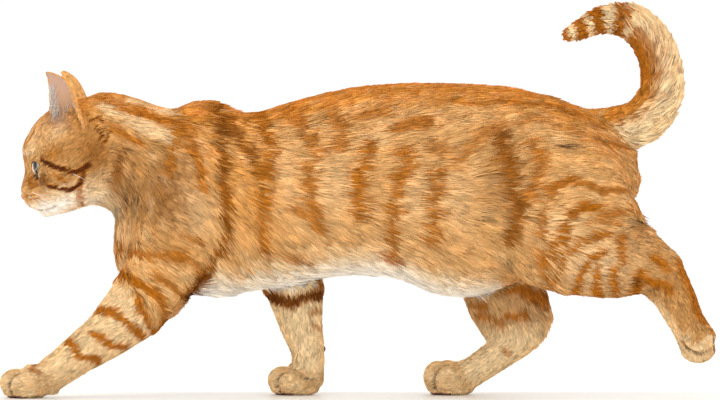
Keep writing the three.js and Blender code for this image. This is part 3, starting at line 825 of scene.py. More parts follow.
# Bars, each a line of places with half its width in millimetres and its strength. On the
# body and legs the places are (along, up); on the head they are (forward, up).
BARS = {
    "trunk": [
        ([(-135, 235), (-137, 223), (-136, 212), (-128, 196), (-125, 178)], 3.2, 0.75),
        ([(-85, 246), (-76, 225), (-69, 211), (-73, 194), (-76, 178), (-78, 162), (-78, 144),
          (-76, 129)], 4.1, 0.85),
        ([(-59, 245), (-49, 235), (-39, 219), (-31, 206)], 4.9, 0.60),
        ([(-40, 196), (-38, 178), (-36, 162), (-32, 148)], 5.3, 0.70),
        ([(-51, 161), (-40, 154), (-30, 149)], 3.3, 0.55),
        ([(-21, 238), (-13, 227), (-15, 213)], 6.1, 0.60),
        ([(9, 213), (7, 202), (2, 186), (0, 174), (3, 159)], 6.1, 0.85),
        ([(37, 209), (42, 198), (34, 186)], 6.1, 0.80),
        ([(34, 186), (30, 170), (28, 153), (28, 137), (27, 123)], 4.1, 0.85),
        ([(24, 124), (31, 122)], 3.7, 0.70),
        ([(63, 194), (62, 171), (63, 156), (59, 139)], 5.3, 0.75),
        ([(-2, 236), (25, 243)], 3.3, 0.55),
        ([(28, 228), (59, 233)], 4.1, 0.65),
        ([(59, 214), (70, 208)], 5.7, 0.40),
        ([(80, 197), (89, 210), (101, 223), (113, 230)], 4.9, 0.50),
        ([(-58, 122), (-42, 119)], 4.1, 0.50),
        ([(141, 217), (148, 206), (150, 197), (144, 184), (137, 169)], 4.5, 0.65),
        ([(-213, 252.5), (-190, 243.5), (-169, 236), (-147, 230)], 2.5, 0.75),
        ([(-203, 229), (-188, 221), (-174, 214)], 2.6, 0.7),
        ([(-135, 236), (-148, 222), (-151, 206), (-154, 193)], 3.5, 0.7),
        ([(-196, 130), (-184, 129), (-169, 124), (-140, 123)], 3.7, 0.70),
        ([(-138, 140), (-127, 136)], 3.3, 0.50),
        ([(-132, 119), (-128, 108)], 4.1, 0.50),
    ],
    "dark": [  # those of the trunk with a dark middle
        ([(-119, 247), (-112, 227), (-109, 202), (-109, 178), (-106, 162), (-105, 137),
          (-116, 119), (-124, 109), (-140, 92)], 3.4, 1.00),
        ([(-107, 236), (-102, 226), (-93, 216), (-87, 205), (-81, 193)], 3.3, 0.80),
        ([(115, 222), (119, 206), (124, 190), (127, 174), (131, 160), (128, 147),
          (123, 136)], 5.7, 0.75),
    ],
    "thigh": [
        ([(175, 189), (164, 182), (155, 174), (152, 163), (150, 153), (149, 140)], 3.7, 0.65),
        ([(194, 163), (182, 166), (175, 160), (171, 149), (164, 137), (157, 127),
          (153, 119)], 3.7, 0.80),
        ([(169, 188), (184, 183), (199, 177), (218, 178)], 2.6, 0.55),
        ([(202, 144), (189, 139), (176, 132), (169, 124), (163, 114), (161, 102)], 3.1, 0.75),
        ([(197, 127), (189, 123), (183, 114), (180, 105), (178, 93)], 3.1, 0.80),
        ([(195, 114), (195, 93)], 2.8, 0.80),
        ([(210, 114), (210, 93)], 2.8, 0.80),
        ([(232, 110), (225, 94)], 3.3, 0.90),
        ([(214, 139), (216, 121)], 4.1, 0.55),
        ([(240, 123), (252, 114)], 2.6, 0.75),
        ([(237, 104), (252, 94)], 3.3, 0.85),
        ([(146, 127), (151, 111), (154, 97)], 2.6, 0.60),
        ([(197, 157), (215, 160), (230, 164)], 2.8, 0.50),
        ([(185, 149), (198, 153), (211, 151)], 2.4, 0.40),
        ([(67, 251), (99, 249), (148, 249), (176, 241), (197, 228), (216, 212)], 2.1, 0.50),
        ([(115, 233), (152, 236), (176, 227), (198, 216)], 2.8, 0.4),
    ],
    "fore_left": [
        ([(-198, 114), (-187, 107), (-174, 100), (-164, 95)], 4.8, 1.00),
        ([(-164, 109), (-154, 103), (-146, 95)], 2.9, 0.60),
        ([(-164, 96), (-156, 86), (-158, 73), (-162, 64)], 2.6, 0.85),
        ([(-178, 87), (-173, 73), (-166, 63)], 2.9, 0.90),
        ([(-212, 78), (-197, 78), (-187, 68), (-175, 57)], 3.3, 0.95),
        ([(-216, 63), (-205, 53), (-191, 49)], 2.8, 1.00),
        ([(-236, 55), (-229, 46), (-224, 41), (-212, 41)], 2.8, 1.00),
        ([(-219, 39), (-207, 37)], 1.6, 0.50),
        ([(-265, 34), (-260, 30)], 2.5, 0.50),
    ],
    "fore_right": [
        ([(-74, 91), (-54, 85), (-28, 94)], 5.0, 1.0),
        ([(-41, 77), (-28, 76)], 1.3, 0.6),
        ([(-39, 64), (-29, 63)], 1.3, 0.6),
    ],
    "hind_right": [
        ([(117, 96), (136, 96), (156, 87)], 5.9, 0.8),
        ([(96, 83), (105, 83)], 2.9, 0.7),
        ([(102, 75), (120, 66)], 4.2, 0.6),
        ([(126, 73), (139, 73)], 3.3, 0.9),
        ([(123, 46), (126, 44)], 2.5, 0.5),
    ],
    "hind_left": [
        ([(243, 103), (254, 95)], 3.7, 0.8),
        ([(242, 123), (252, 116)], 2.5, 0.8),
        ([(261, 120), (272, 96), (282, 72)], 3.3, 0.6),
    ],
    "head": [
        ([(13, 7), (8, 0), (4, -5), (-2, -10), (-6, -14), (-12, -16), (-20, -15)], 2.3, 1.0),
        ([(17, -15), (11, -20), (5, -25), (0, -26), (-6, -25)], 1.9, 0.95),
        ([(-19, -15), (-13, -19), (-8, -24)], 2.2, 0.85),
        ([(-8, -24), (-2, -30), (3, -37), (6, -42)], 2.0, 0.62),
        ([(9, -9), (6, -13), (3, -18)], 1.4, 0.7),
        ([(33, -1), (33, -9)], 2.0, 0.6),
        ([(26, -1), (28, -6), (29, -10)], 1.3, 0.8),
        ([(42, -13), (33, -15.5)], 0.7, 0.8), ([(41, -17), (32, -19)], 0.7, 0.7),
    ],
    "ear_root": [  # dark strokes behind the ear
        ([(-37, 17), (-43, 15), (-46, 10)], 1.0, 0.9),
        ([(-39, 12), (-40, 6), (-40, 0), (-38, -1)], 1.1, 1.0),
        ([(-45, 6), (-46, 1), (-45, -1)], 1.0, 0.9),
        ([(-39, -5), (-43, -3), (-45, -2)], 1.0, 0.9),
    ],
    "crown": [
        ([(12, 32), (6, 20), (4, 8), (9, -8)], 1.2, 0.55),
        ([(6, 34), (14, 22), (16, 8)], 1.1, 0.5),
        ([(0, 34), (0, 12), (0, -10)], 1.0, 0.4),
    ],
    "pale": [
        ([(-207, 246), (-190, 238), (-172, 229), (-157, 222)], 5.5, 0.65),
        ([(-190, 251.5), (-170, 246.5), (-152, 242)], 3.0, 0.7),
    ],
    # painted shade: dark lines laid in the folds of the neck's coat
    "neck_fold_shade": [
        ([(-189, 212), (-194, 203), (-198, 194)], 1.3, 0.8),
        ([(-179, 194), (-184, 186), (-190, 176), (-194, 166)], 1.3, 0.7),
        ([(-185, 172), (-191, 165), (-199, 159)], 1.3, 0.8),
        ([(-197, 174), (-201, 167)], 0.7, 0.6),
    ],
}

# Rings of the tail: place along it, half width and strength.
RINGS = [(190, 3.6, 0.8), (175, 4.2, 0.9), (160, 4.6, 1.0), (141.5, 4.8, 1.0), (108, 16, 0.5),
         (84, 7, 0.55), (66, 5, 0.45)]

# Soft patches of the other colours of the coat: place, reach each way and strength. Those of
# the head are (forward, up) in its own frame, those of the body (along, up).
PATCHES = {
    "cream": [
        ("trunk", -130, 160, 14, 30, 0.3), ("trunk", -20, 180, 14, 30, 0.3),
        ("trunk", 46, 170, 10, 36, 0.3), ("trunk", 80, 170, 12, 30, 0.3),
        ("trunk", 190, 116, 34, 26, 0.5), ("trunk", -58, 190, 9, 30, 0.3),
        ("trunk", -196, 140, 12, 16, 0.4),
        ("trunk", 165, 150, 22, 12, 0.35), ("trunk", 16, 222, 10, 8, 0.3),
        ("head", 14, 30, 16, 9, 0.35), ("head", 38, -20, 9, 6, 0.4),
        ("head", 18, 19, 7, 5, 0.4), ("head", 9, -21, 6, 2.5, 0.7), ("head", -8, 20, 9, 5, 0.35),
    ],
    "deep": [
        ("head", 21, -9, 5, 6, 0.35), ("head", 33, -4, 2.5, 6, 0.3),
        ("trunk", 228, 103, 5, 4, 0.8), ("trunk", 246, 94, 6, 3.5, 0.8),
        ("trunk", 170, 213.5, 6, 2.2, 1.0),
    ],
    "white": [
        ("head", 22, -33, 22, 7, 1.0), ("head", 36, -27, 9, 5, 0.8),
        ("head", -4, -42, 10, 5, 0.5),
    ],
    "rust": [
        ("head", 2, 6, 9, 5, 0.75), ("head", -34, 30, 13, 20, 0.8),
        ("trunk", -132, 238, 20, 14, 0.9), ("trunk", -190, 255, 30, 7, 0.6),
        ("trunk", -140, 128, 16, 10, 0.4), ("trunk", 210, 215, 20, 16, 0.6),
        ("trunk", -116, 212, 11, 34, 0.4), ("trunk", -150, 214, 9, 14, 0.4),
        ("trunk", -88, 185, 34, 50, 0.55),
    ],
    "brown": [
        ("head", -12, 33, 9, 7, 0.8), ("head", 20, -8, 7, 8, 0.95), ("head", 34, -5, 4, 7, 0.8),
        ("head", 4, -16, 12, 7, 0.5), ("head", -28, -8, 19, 23, 0.95),
        ("head", 4, 8, 10, 5, 0.35), ("head", 12, 6, 42, 42, 0.25),
        ("trunk", -203, 188, 26, 38, 1.0), ("trunk", -152, 174, 26, 42, 0.85),
        ("trunk", 120, 185, 18, 34, 0.75),
        ("trunk", 150, 120, 20, 20, 0.2), ("head", -6, 4, 9, 7, 0.35),
    ],
}
TOP = [(-172, 252), (-147, 251), (-123, 253), (-98, 243), (-73, 250), (-48, 254), (-23, 261),
       (2, 266), (39, 268), (89, 267), (126, 265), (151, 261), (176, 250), (200, 248), (225, 255)]
UNDER = [(-195, 96), (-146, 92), (-121, 91), (-97, 92), (-47, 100), (-23, 106), (14, 109),
         (38, 104), (63, 92), (100, 88), (141, 90)]


MARKS = ("bar", "deep", "cream", "white", "rust", "brown")


def bars_at(points2, bars, soft):
    """Strength of the strongest bar at each point of a side view."""
    strongest = np.zeros(len(points2))
    for line, width, strength in bars:
        line = np.array(line, dtype=float)
        low, high = line.min(0) - width - soft, line.max(0) + width + soft
        near = np.flatnonzero(np.all((points2 > low) & (points2 < high), axis=1))
        if not len(near):
            continue
        distance = np.full(len(near), FAR)
        for start, end in zip(line, line[1:]):
            run = end - start
            t = np.clip((points2[near] - start) @ run / (run @ run), 0, 1)
            away = points2[near] - start - t[:, None] * run
            distance = np.minimum(distance, np.linalg.norm(away, axis=1))
        felt = strength * (1 - smoothstep(width - soft, width + soft, distance))
        strongest[near] = np.maximum(strongest[near], felt)
    return strongest


def lay(field, mask, values):
    """Lays values over part of a field, where they are the stronger."""
    field[mask] = np.maximum(field[mask], values)


def lay_patches(found, areas):
    """Adds the soft patches, each within its own area and side view."""
    for colour, patches in PATCHES.items():
        for area, x, z, wide, high, strength in patches:
            mask, at, share = areas[area]
            spot = np.exp(-(((at[mask, 0] - x) / wide) ** 2) - ((at[mask, 1] - z) / high) ** 2)
            found[colour][mask] += strength * spot * share[mask] * (1 - found[colour][mask])


def mark_tail(found, tail, points, wavy, rough):
    """Rings of the tail, its pale outer side and tip and its orange inner side."""
    along, across, reach = tail_place(points)
    along = along + 1.2 * rough[:, 0] + 1.5 * wavy[:, 0]
    outer = across / np.maximum(reach, 1e-6) * smoothstep(2, 9, reach)
    ring = np.zeros(len(points))
    for place, half, strength in RINGS:
        felt = 1 - smoothstep(half - 2, half + 2, np.abs(along - place))
        ring = np.maximum(ring, strength * felt)
    ring *= 1 - 0.9 * smoothstep(-0.3, 0.7, outer) * (along < 130)
    lay(found["bar"], tail, ring[tail])
    pale = np.where(along > 124, 0.9, smoothstep(-0.6, 0.2, outer) * smoothstep(0, 30, along))
    inner = (1 - smoothstep(-0.45, 0.2, outer)) * (along < 124)
    found["cream"][tail] = pale[tail]
    found["rust"][tail] = 0.9 * inner[tail]
    found["brown"][tail] = 0.12 * inner[tail]


def mark_ears(found, ears, local, normals):
    """Ears orange behind, bare and greyish pink in front, browner deep in the cup near its base as
    painted shade.
    """
    hollow = ear_hollow(local, normals)
    floor = 1 - smoothstep(30, 56, local[:, 2])
    found["rust"][ears] = 0.5
    found["cream"][ears] = 0.12
    # painted shade: brown deep in the cup toward the ear's base, where the pink is held back
    found["brown"][ears] = (0.9 * hollow * floor)[ears]
    cup = np.exp(-(((local[:, 0] + 15) / 8) ** 2) - ((local[:, 2] - 29) / 8) ** 2)
    cup *= 0.3 * (np.abs(local[:, 1]) > 14)
    found["hollow"] = np.where(ears, hollow * (1 - 0.6 * floor), cup)


def marks(points, normals, owner, rim, sunk):
    """How much of each colour of the coat there is at each point."""
    names = np.array(FLESH)[owner]
    starts = {word: np.char.startswith(names, word) for word in
              ("ear", "tail", "paw", "forearm", "shank", "metatarsus", "head", "lower", "thigh",
               "neck", "upper", "rump", "belly", "chest")}
    local = to_head(points)
    head = starts["head"] | starts["lower"]
    body = starts["chest"] | starts["belly"] | starts["rump"] | starts["neck"]
    body |= starts["thigh"] | starts["upper"] | (names == "shank_hind_left")
    ends_right = np.char.endswith(names, "right")

    wavy = np.stack([ripple(points, 17, 5), ripple(points, 17, 6)], axis=1)
    rough = np.stack([ripple(points, 5, 7), ripple(points, 5, 8)], axis=1)
    flat = points[:, [0, 2]] + 1.8 * wavy + 0.9 * rough
    right = (points[:, 1] > 0) & (body | starts["tail"])
    drift = np.stack([ripple(points[right], 60, 9), ripple(points[right], 60, 10)], axis=1)
    flat[right] += np.array([7.0, -3.0]) + 5 * drift  # the right side is like the left, not the same
    facing = local[:, [0, 2]] + 0.45 * rough

    found = {name: np.zeros(len(points)) for name in MARKS}
    bar, deep, cream, white, rust, brown = found.values()

    trunk_bars = BARS["trunk"] + BARS["dark"] + BARS["thigh"]
    lay(bar, body, bars_at(flat[body], trunk_bars, 2.2))
    thigh = starts["thigh"] | (names == "shank_hind_left")
    lay(bar, thigh, 1.2 * bars_at(flat[thigh], BARS["thigh"], 1.6))
    for word in ("fore_left", "fore_right", "hind_left", "hind_right"):
        limb = np.char.endswith(names, word)
        lay(bar, limb, bars_at(flat[limb], BARS[word], 1.5 if word == "fore_left" else 2.6))
    cheek = head & (np.abs(local[:, 1]) > 7)
    head_bars = BARS["head"] + BARS["ear_root"]
    lay(bar, cheek, bars_at(facing[cheek], head_bars, 0.9))
    neck = starts["neck"] & (points[:, 1] < 0)
    # painted shade in the neck's folds, in the deep colour
    lay(deep, neck, bars_at(flat[neck], BARS["neck_fold_shade"], 0.9))
    lay(cream, body, bars_at(flat[body], BARS["pale"], 2.5))
    behind = starts["neck"] & (np.abs(local[:, 1]) > 7)
    lay(bar, behind, bars_at(facing[behind], head_bars, 0.9))
    lay(deep, behind, 0.9 * bars_at(facing[behind], BARS["ear_root"], 0.7))
    crown = head & (local[:, 2] > 14)
    seen = np.stack([np.abs(local[:, 1]), local[:, 0]], axis=1) + 0.6 * rough
    lay(bar, crown, bars_at(seen[crown], BARS["crown"], 1.0))
    deep[:] = np.maximum(deep, 0.95 * smoothstep(0.58, 0.95, bar) * head)
    far_band = smoothstep(0.6, 0.95, bar) * (names == "forearm_fore_right")
    deep[:] = np.maximum(deep, 0.75 * far_band)
    lay(deep, body, 0.5 * bars_at(flat[body], BARS["dark"], 3.0))

    near_head = np.exp(-((np.abs(local).max(1) / 62) ** 8))
    lay_patches(found, {
        "head": (head | starts["neck"], facing, near_head),
        "trunk": (body, flat, np.ones(len(points))),
    })

    # small clouds of brown and cream
    cloud = ripple(points, 12, 23)
    lay(brown, body, (0.16 * cloud.clip(0))[body])
    lay(cream, body, (0.2 * (-cloud).clip(0))[body])

    # dark saddle along the back, cream belly and cream inner sides
    top = np.interp(points[:, 0], *np.transpose(TOP))
    saddle = smoothstep(-26, -12, points[:, 2] - top + 4 * wavy[:, 0] + 2 * rough[:, 0])
    lay(rust, body, (0.85 * saddle * smoothstep(-205, -170, points[:, 0]))[body])
    under = np.interp(points[:, 0], *np.transpose(UNDER))
    low = 1 - smoothstep(5, 34, points[:, 2] - under + 5 * wavy[:, 1])
    belly = starts["belly"] | starts["chest"] | (starts["rump"] & (points[:, 0] < 110))
    lay(cream, belly, (0.95 * low)[belly])
    lay(white, belly, (1 - smoothstep(1, 22, points[:, 2] - under))[belly])
    throat = (starts["neck"] | head) * smoothstep(-0.3, -0.85, normals[:, 2])
    cream[:] = np.maximum(cream, 0.75 * throat * (points[:, 0] < -180))
    lifted = (names == "metatarsus_hind_left") | (names == "shank_hind_left")
    tan = lifted * (0.42 - 0.35 * smoothstep(0.1, 0.7, -normals[:, 0]))
    brown[:] = np.maximum(brown, tan)
    limbs = starts["paw"] | starts["forearm"] | starts["metatarsus"] | (names == "shank_hind_right")
    limbs &= ~lifted
    lifted_foot = names == "metatarsus_hind_left"
    cream[:] = np.maximum(cream, 0.75 * lifted_foot * smoothstep(0.25, 0.8, -normals[:, 0]))
    inward = normals[:, 1] * np.where(ends_right, -1, 1)
    cream[limbs] = np.maximum(cream, 0.72 + 0.2 * smoothstep(0.2, 0.9, inward))[limbs]
    cream *= 1 - 0.8 * (names == "shank_hind_right") * smoothstep(52, 78, points[:, 2])
    cream[starts["paw"]] = (0.55 + 0.2 * ripple(points, 12, 21))[starts["paw"]]
    inner_thigh = (starts["thigh"] | starts["upper"]) & (points[:, 2] < 150)
    lay(cream, inner_thigh, (0.6 * smoothstep(0.3, 0.9, inward))[inner_thigh])
    grain = 0.08 - 0.03 * starts["forearm"] + 0.16 * ripple(points, 22, 22)
    grain += 0.25 * (names == "shank_hind_right") * smoothstep(55, 85, points[:, 2])
    lay(brown, limbs, grain[limbs])
    rear = lifted_foot * smoothstep(0.1, 0.8, normals[:, 0])
    rust[:] = np.maximum(rust, 0.8 * rear)

    mark_tail(found, starts["tail"], points, wavy, rough)
    mark_ears(found, starts["ear"], local, normals)
    # dark rims of lids and lips, and painted shade in the grooves of the philtrum, wrist and toes
    found["rim_and_crease_shade"] = np.maximum(smoothstep(0.8, 1.6, sunk), head * smoothstep(-6.5, -2.5, rim))
    bar[:] = 1 - (1 - bar.clip(0, 1)) ** 1.9
    white *= 1 - 0.85 * bar
    return {name: np.clip(values, 0, 1) for name, values in found.items()}


def ear_hollow(local, normals):
    """One inside the cup of an ear, none on its back."""
    return smoothstep(-0.1, 0.3, ear_facing(local, head_turned(normals)))


# ---------------------------------------------------------------- growing the coat

# Places where the coat stands out: along, side, up, reach, added depth, times the length.
STANDS = [
    (160, 30, 80, 20, 7.0, 1.5),  # back of the far thigh
    (110, 28, 74, 13, 3.0, 1.2),
    (60, 0, 92, 30, 0.4, 1.1),  # fringe of the belly
    (20, 0, 106, 24, -3.2, 1.0),
    (-138, 0, 252, 17, 5.5, 1.0),  # withers
    (-101, 0, 250, 11, -4.0, 1.0),
    (148, 0, 247, 14, 3.0, 1.0),
    (192, 0, 244, 20, 3.0, 1.1),  # root of the tail
    (229, -16, 150, 20, 4.5, 1.3),  # back of the near thigh
    (223, -20, 173, 9, 5.0, 1.3),
    (210, -31, 92, 20, 2.0, 1.0),
    (-150, -24, 92, 16, 3.0, 1.1),  # elbow
    (-126, -18, 94, 13, 5.0, 1.3),
]
# Pieces of the coat, the nodes they grow on and a slot name for each. Each is split so that no part is
# too large.
COAT_PIECES = {
    "coat_head": (("head",), "coat_ginger"),
    "coat_jaw": (("lower_jaw",), "coat_cream"),
    "coat_ears": (("ear",), "ear"),
    "coat_neck": (("neck",), "coat_ginger"),
    "coat_chest": (("chest",), "coat_striped"),
    "coat_belly": (("belly",), "coat_ginger"),
    "coat_rump": (("rump",), "coat_striped"),
    "coat_thighs": (("thigh",), "coat_ginger"),
    "coat_upper_arms": (("upper_arm",), "coat_striped"),
    "coat_forelegs": (("forearm",), "coat_striped"),
    "coat_hind_legs": (("shank", "metatarsus"), "coat_striped"),
    "coat_paws": (("paw",), "coat_cream"),
    "coat_tail": (("tail",), "coat_ginger"),
}
MOST_TUFTS = 48000  # in one part, at four triangles to a tuft
TUFTS_IN_LOCK = 11
ROOT_DEPTH = 0.4  # how far a tuft starts under the skin
SKINWARD_FACES = (True, True, False, False)  # of a tuft: they keep their own flat shading
PATCH = 0.003  # size of a tuft on the bake map


def bare(skin):
    """How much coat there is at each point: none on the eyes, nose, soles and lips."""
    points, normals, owner = skin["points"], skin["normals"], skin["owner"]
    local = to_head(points)
    names = np.array(FLESH)[owner]
    cover = 1 - smoothstep(-7, -3.5, skin["rim"])
    nose = np.linalg.norm((local - NOSE_PLACE) / [5.0, 6.0, 4.8], axis=1)
    cover *= np.where(local[:, 0] > 40, smoothstep(0.72, 0.95, nose), 1)
    cover *= 1 - smoothstep(0.8, 1.5, skin["sunk"])
    for name in PAW_PLACES:
        below = paw_turn(name) @ [0, 0, -1]
        sole = (names == name) & ((normals * below).sum(1) > 0.75)
        cover[sole] = 0.15
    hollow = ear_hollow(local, normals) * np.char.startswith(names, "ear")
    return cover * (1 - hollow)


def charts(skin):
    """A flat place for each point of the skin: each node is unrolled into its own square."""
    points, owner = skin["points"], skin["owner"]
    flat = np.zeros((len(points), 2))
    across = math.ceil(math.sqrt(len(FLESH)))
    for number in range(len(FLESH)):
        mine = np.flatnonzero(owner == number)
        if len(mine) < 3:
            continue
        seen = points[mine] - points[mine].mean(0)
        axes = np.linalg.svd(seen[:: max(1, len(mine) // 2000)], full_matrices=False)[2]
        long, wide, deep = (seen @ axis for axis in axes)
        turn = np.arctan2(deep, wide) / (2 * np.pi) + 0.5
        rise = (long - long.min()) / np.ptp(long)
        cell = np.array([number % across, number // across])
        flat[mine] = (cell + 0.03 + 0.92 * np.stack([turn, rise], axis=1)) / across
    return flat


def turned(vectors, axes, angles):
    """Vectors turned about unit axes at right angles to them."""
    cosine, sine = np.cos(angles)[:, None], np.sin(angles)[:, None]
    return vectors * cosine + np.cross(axes, vectors) * sine


def nearest_on(tree, points):
    found = [tree.find_nearest(point)[:2] for point in points.tolist()]
    return np.array([place for place, _ in found]), np.array([normal for _, normal in found])


def stations(hug, root, up, step, draw, height):
    """Middle and tip of each tuft laid over the skin, and whether the tuft lies soundly."""
    middle, up_middle = nearest_on(hug, root + 0.4 * step + 0.12 * draw)
    tip, up_tip = nearest_on(hug, root + step + 0.5 * draw)
    middle = middle + up_middle * (0.75 * height)[:, None]
    tip = tip + up_tip * height[:, None]
    chord = root + 0.4 * (tip - root)
    sag = 0.25 - ((middle - chord) * up_middle).sum(1)
    middle += up_middle * sag.clip(0)[:, None]
    side = unit(np.cross(up_middle, tip - root))
    first, second = unit(np.cross(middle - root, side)), unit(np.cross(tip - middle, side))
    long, meant = (np.linalg.norm(span, axis=1) for span in (tip - root, step))
    sound = ((first * up).sum(1) > 0.3) & ((second * up_tip).sum(1) > 0.3)
    sound &= ((up * up_tip).sum(1) > 0.25) & (long < 1.5 * meant + 2) & (long > 0.4 * meant)
    return middle, tip, up_middle, sound


def grow(skin, flow, settings):
    """Roots and stations of every tuft of the coat."""
    rng = np.random.default_rng(11)
    points, triangles, normals = skin["points"], skin["triangles"], skin["normals"]
    table = np.array([COAT[kind_of(name)][:4] for name in FLESH])[skin["owner"]]
    table = spread(table, skin["edges"], 12)
    table[:, 3] *= bare(skin) * settings.density
    a, b, c = (points[triangles[:, k]] for k in range(3))
    area = np.linalg.norm(np.cross(b - a, c - a), axis=1) / 2
    wanted = area * table[triangles, 3].mean(1)
    count = np.floor(wanted + rng.random(len(wanted))).astype(int)
    face = np.repeat(np.arange(len(triangles)), count)
    share = rng.dirichlet((1, 1, 1), len(face))[:, :, None]
    corners = triangles[face]
    root = (points[corners] * share).sum(1)
    up = unit((normals[corners] * share).sum(1))
    run = unit((flow[corners] * share).sum(1))
    fields = np.concatenate([table[:, 1:3], skin["depth"][:, None]], axis=1)
    length, width, depth = (fields[corners] * share).sum(1).T

    total = len(root)
    sway = np.radians(9 * rng.normal(size=total) + 9 * ripple(root, 32, 31) + 6 * ripple(root, 11, 32))
    run = turned(run, up, sway)
    length = length * rng.uniform(0.7, 1.25, total) * settings.length
    width = width * rng.uniform(0.75, 1.3, total)
    stand = np.zeros(total)
    for x, y, z, reach, deeper, longer in STANDS:
        felt = np.exp(-(((root - [x, y, z]) ** 2).sum(1)) / reach**2)
        stand += deeper * felt
        length *= 1 + (longer - 1) * felt
    along, across, reach = tail_place(root)
    names = np.array(FLESH)[skin["owner"][corners[:, 0]]]
    tail = np.char.startswith(names, "tail")
    thin = smoothstep(1, 8, reach)
    fringe = smoothstep(0.1, 0.9, across / np.maximum(reach, 1e-6)) * smoothstep(15, 45, along)
    stand += 3.2 * tail * fringe * (1 - 0.8 * smoothstep(120, 150, along))
    curl = smoothstep(0, 0.7, -across / np.maximum(reach, 1e-6))
    calm = tail * np.maximum(curl, smoothstep(150, 180, along))
    shorter = (0.45 + 0.55 * thin) * (1 - 0.5 * smoothstep(120, 140, along)) * (1 - 0.35 * calm)
    length = np.where(tail, length * shorter, length)

    # tufts gather into locks, each drawn toward one of their number
    leaders = rng.permutation(total)[: total // TUFTS_IN_LOCK]
    leader = leaders[nearest_point(root[leaders], root)]
    same = (up[leader] * up).sum(1) > 0.5
    leader = np.where(same, leader, np.arange(total))
    step = run * length[:, None]
    draw = root[leader] + step[leader] - root - step
    pull = np.ones(total)
    pull[np.char.startswith(names, "paw")] = 0.25
    pull[tail] = 1.5
    rise, lock_rise = rng.random(total), rng.random(total)[leader]
    rise += 0.8 * calm * (0.45 - rise)
    lock_rise += 0.8 * calm * (0.45 - lock_rise)
    both = 0.35 * rise + 0.35 * lock_rise
    height = depth * (0.5 + both) + stand * (0.3 + both)
    hug = surface(points, triangles)
    middle, tip, up_middle, sound = stations(hug, root, up, step, draw * pull[:, None], height)
    again = np.flatnonzero(~sound)
    step, height = 0.4 * step[again], 0.6 * height[again]
    short = stations(hug, root[again], up[again], step, 0 * step, height)
    middle[again], tip[again], up_middle[again], sound[again] = short
    root = root - up * ROOT_DEPTH
    low = np.where(points[corners[:, 0], 2] < SOLE + 30, SOLE - 0.15, -99)
    for station in (middle, tip):
        station[:, 2] = np.maximum(station[:, 2], low)
    tone = 0.75 * rng.normal(size=total) + 0.95 * rng.normal(size=total)[leader]
    tufts = {
        "root": root, "middle": middle, "tip": tip, "up_middle": unit(up_middle),
        "width": width, "corner": corners[:, 0], "tone": tone,
        "jitter": rng.normal(size=(total, 2)),
    }
    return {key: values[sound] for key, values in tufts.items()}


def tuft_mesh(tufts, chosen):
    """Points and triangles of closed, thin wedges that taper to both ends."""
    root, middle, tip, up = (tufts[key][chosen] for key in ("root", "middle", "tip", "up_middle"))
    side = unit(np.cross(up, tip - root)) * tufts["width"][chosen][:, None] * 0.5
    points = np.stack([root, middle - side, middle + side, tip], axis=1).reshape(-1, 3)
    wedge = np.array([(0, 3, 1), (0, 2, 3), (0, 1, 2), (3, 2, 1)])
    faces = (wedge[None] + 4 * np.arange(len(chosen))[:, None, None]).reshape(-1, 3)
    return points, faces


def tuft_marks(skin, tufts):
    """Markings of every tuft, taken where its outer half lies."""
    corner = tufts["corner"]
    run = tufts["tip"] - tufts["root"]
    place = tufts["root"] + run * (0.66 + 0.12 * tufts["jitter"][:, :1])
    return marks(place, skin["normals"][corner], skin["owner"][corner], skin["rim"][corner],
                 skin["sunk"][corner])


def soften(mesh, tufts, chosen):
    """Turns the shading of each tuft's outer faces toward the skin's own, so the coat is soft."""
    up, run = tufts["up_middle"][chosen], unit(tufts["tip"][chosen] - tufts["root"][chosen])
    side = unit(np.cross(up, run))
    sway = up + 0.22 * tufts["jitter"][chosen, :1] * side
    root, left = sway - 0.25 * run, sway - 0.4 * side
    right, tip = sway + 0.4 * side, sway + 0.2 * run
    under_left, under_right = -0.8 * side - 0.3 * up, 0.8 * side - 0.3 * up
    rows = [*[under_left] * 3, *[under_right] * 3, root, left, right, tip, right, left]
    normals = unit(np.stack(rows, axis=1).reshape(-1, 3)).astype(np.float32)
    layer = mesh.attributes.new("custom_normal", "FLOAT_VECTOR", "CORNER")
    layer.data.foreach_set("vector", normals.ravel())
    flat = mesh.attributes.new("sharp_face", "BOOLEAN", "FACE")
    flat.data.foreach_set("value", np.tile(SKINWARD_FACES, len(chosen)))


def set_bake_map(mesh, flat):
    layer = mesh.uv_layers.new(name="OFBake")
    corners = np.empty(len(mesh.loops), dtype=np.int32)
    mesh.loops.foreach_get("vertex_index", corners)
    layer.data.foreach_set("uv", np.asarray(flat, dtype=np.float32)[corners].ravel())


def make_coat(skin, settings, material):
    """Every piece of the coat, as meshes of tufts that carry their markings."""
    tufts = grow(skin, lie_of(skin), settings)
    colours = tuft_marks(skin, tufts)
    flat = charts(skin)[tufts["corner"]]
    patch = np.array([(0.5, 0), (0, 0.4), (1, 0.4), (0.5, 1)])
    names = np.array(FLESH)[skin["owner"][tufts["corner"]]]
    made = []
    for piece, (kinds, slot) in COAT_PIECES.items():
        mine = np.flatnonzero(np.any([np.char.startswith(names, kind) for kind in kinds], axis=0))
        mine = mine[np.argsort(tufts["root"][mine, 0])]
        parts = np.array_split(mine, math.ceil(len(mine) / MOST_TUFTS))
        for number, chosen in enumerate(parts):
            name = piece if len(parts) == 1 else f"{piece}_{number + 1}"
            points, faces = tuft_mesh(tufts, chosen)
            made.append(new_mesh(name, points, faces))
            mesh = made[-1].data
            for key, values in colours.items():
                note(mesh, key, np.repeat(values[chosen], 4))
            note(mesh, "tone", np.repeat(tufts["tone"][chosen], 4))
            note(mesh, "along", np.tile([0, 0.4, 0.4, 1.0], len(chosen)))
            soften(mesh, tufts, chosen)
            place = flat[chosen][:, None, :] + patch[None] * PATCH
            set_bake_map(mesh, place.reshape(-1, 2))
            mesh.materials.append(material)
    return made


# ---------------------------------------------------------------- materials


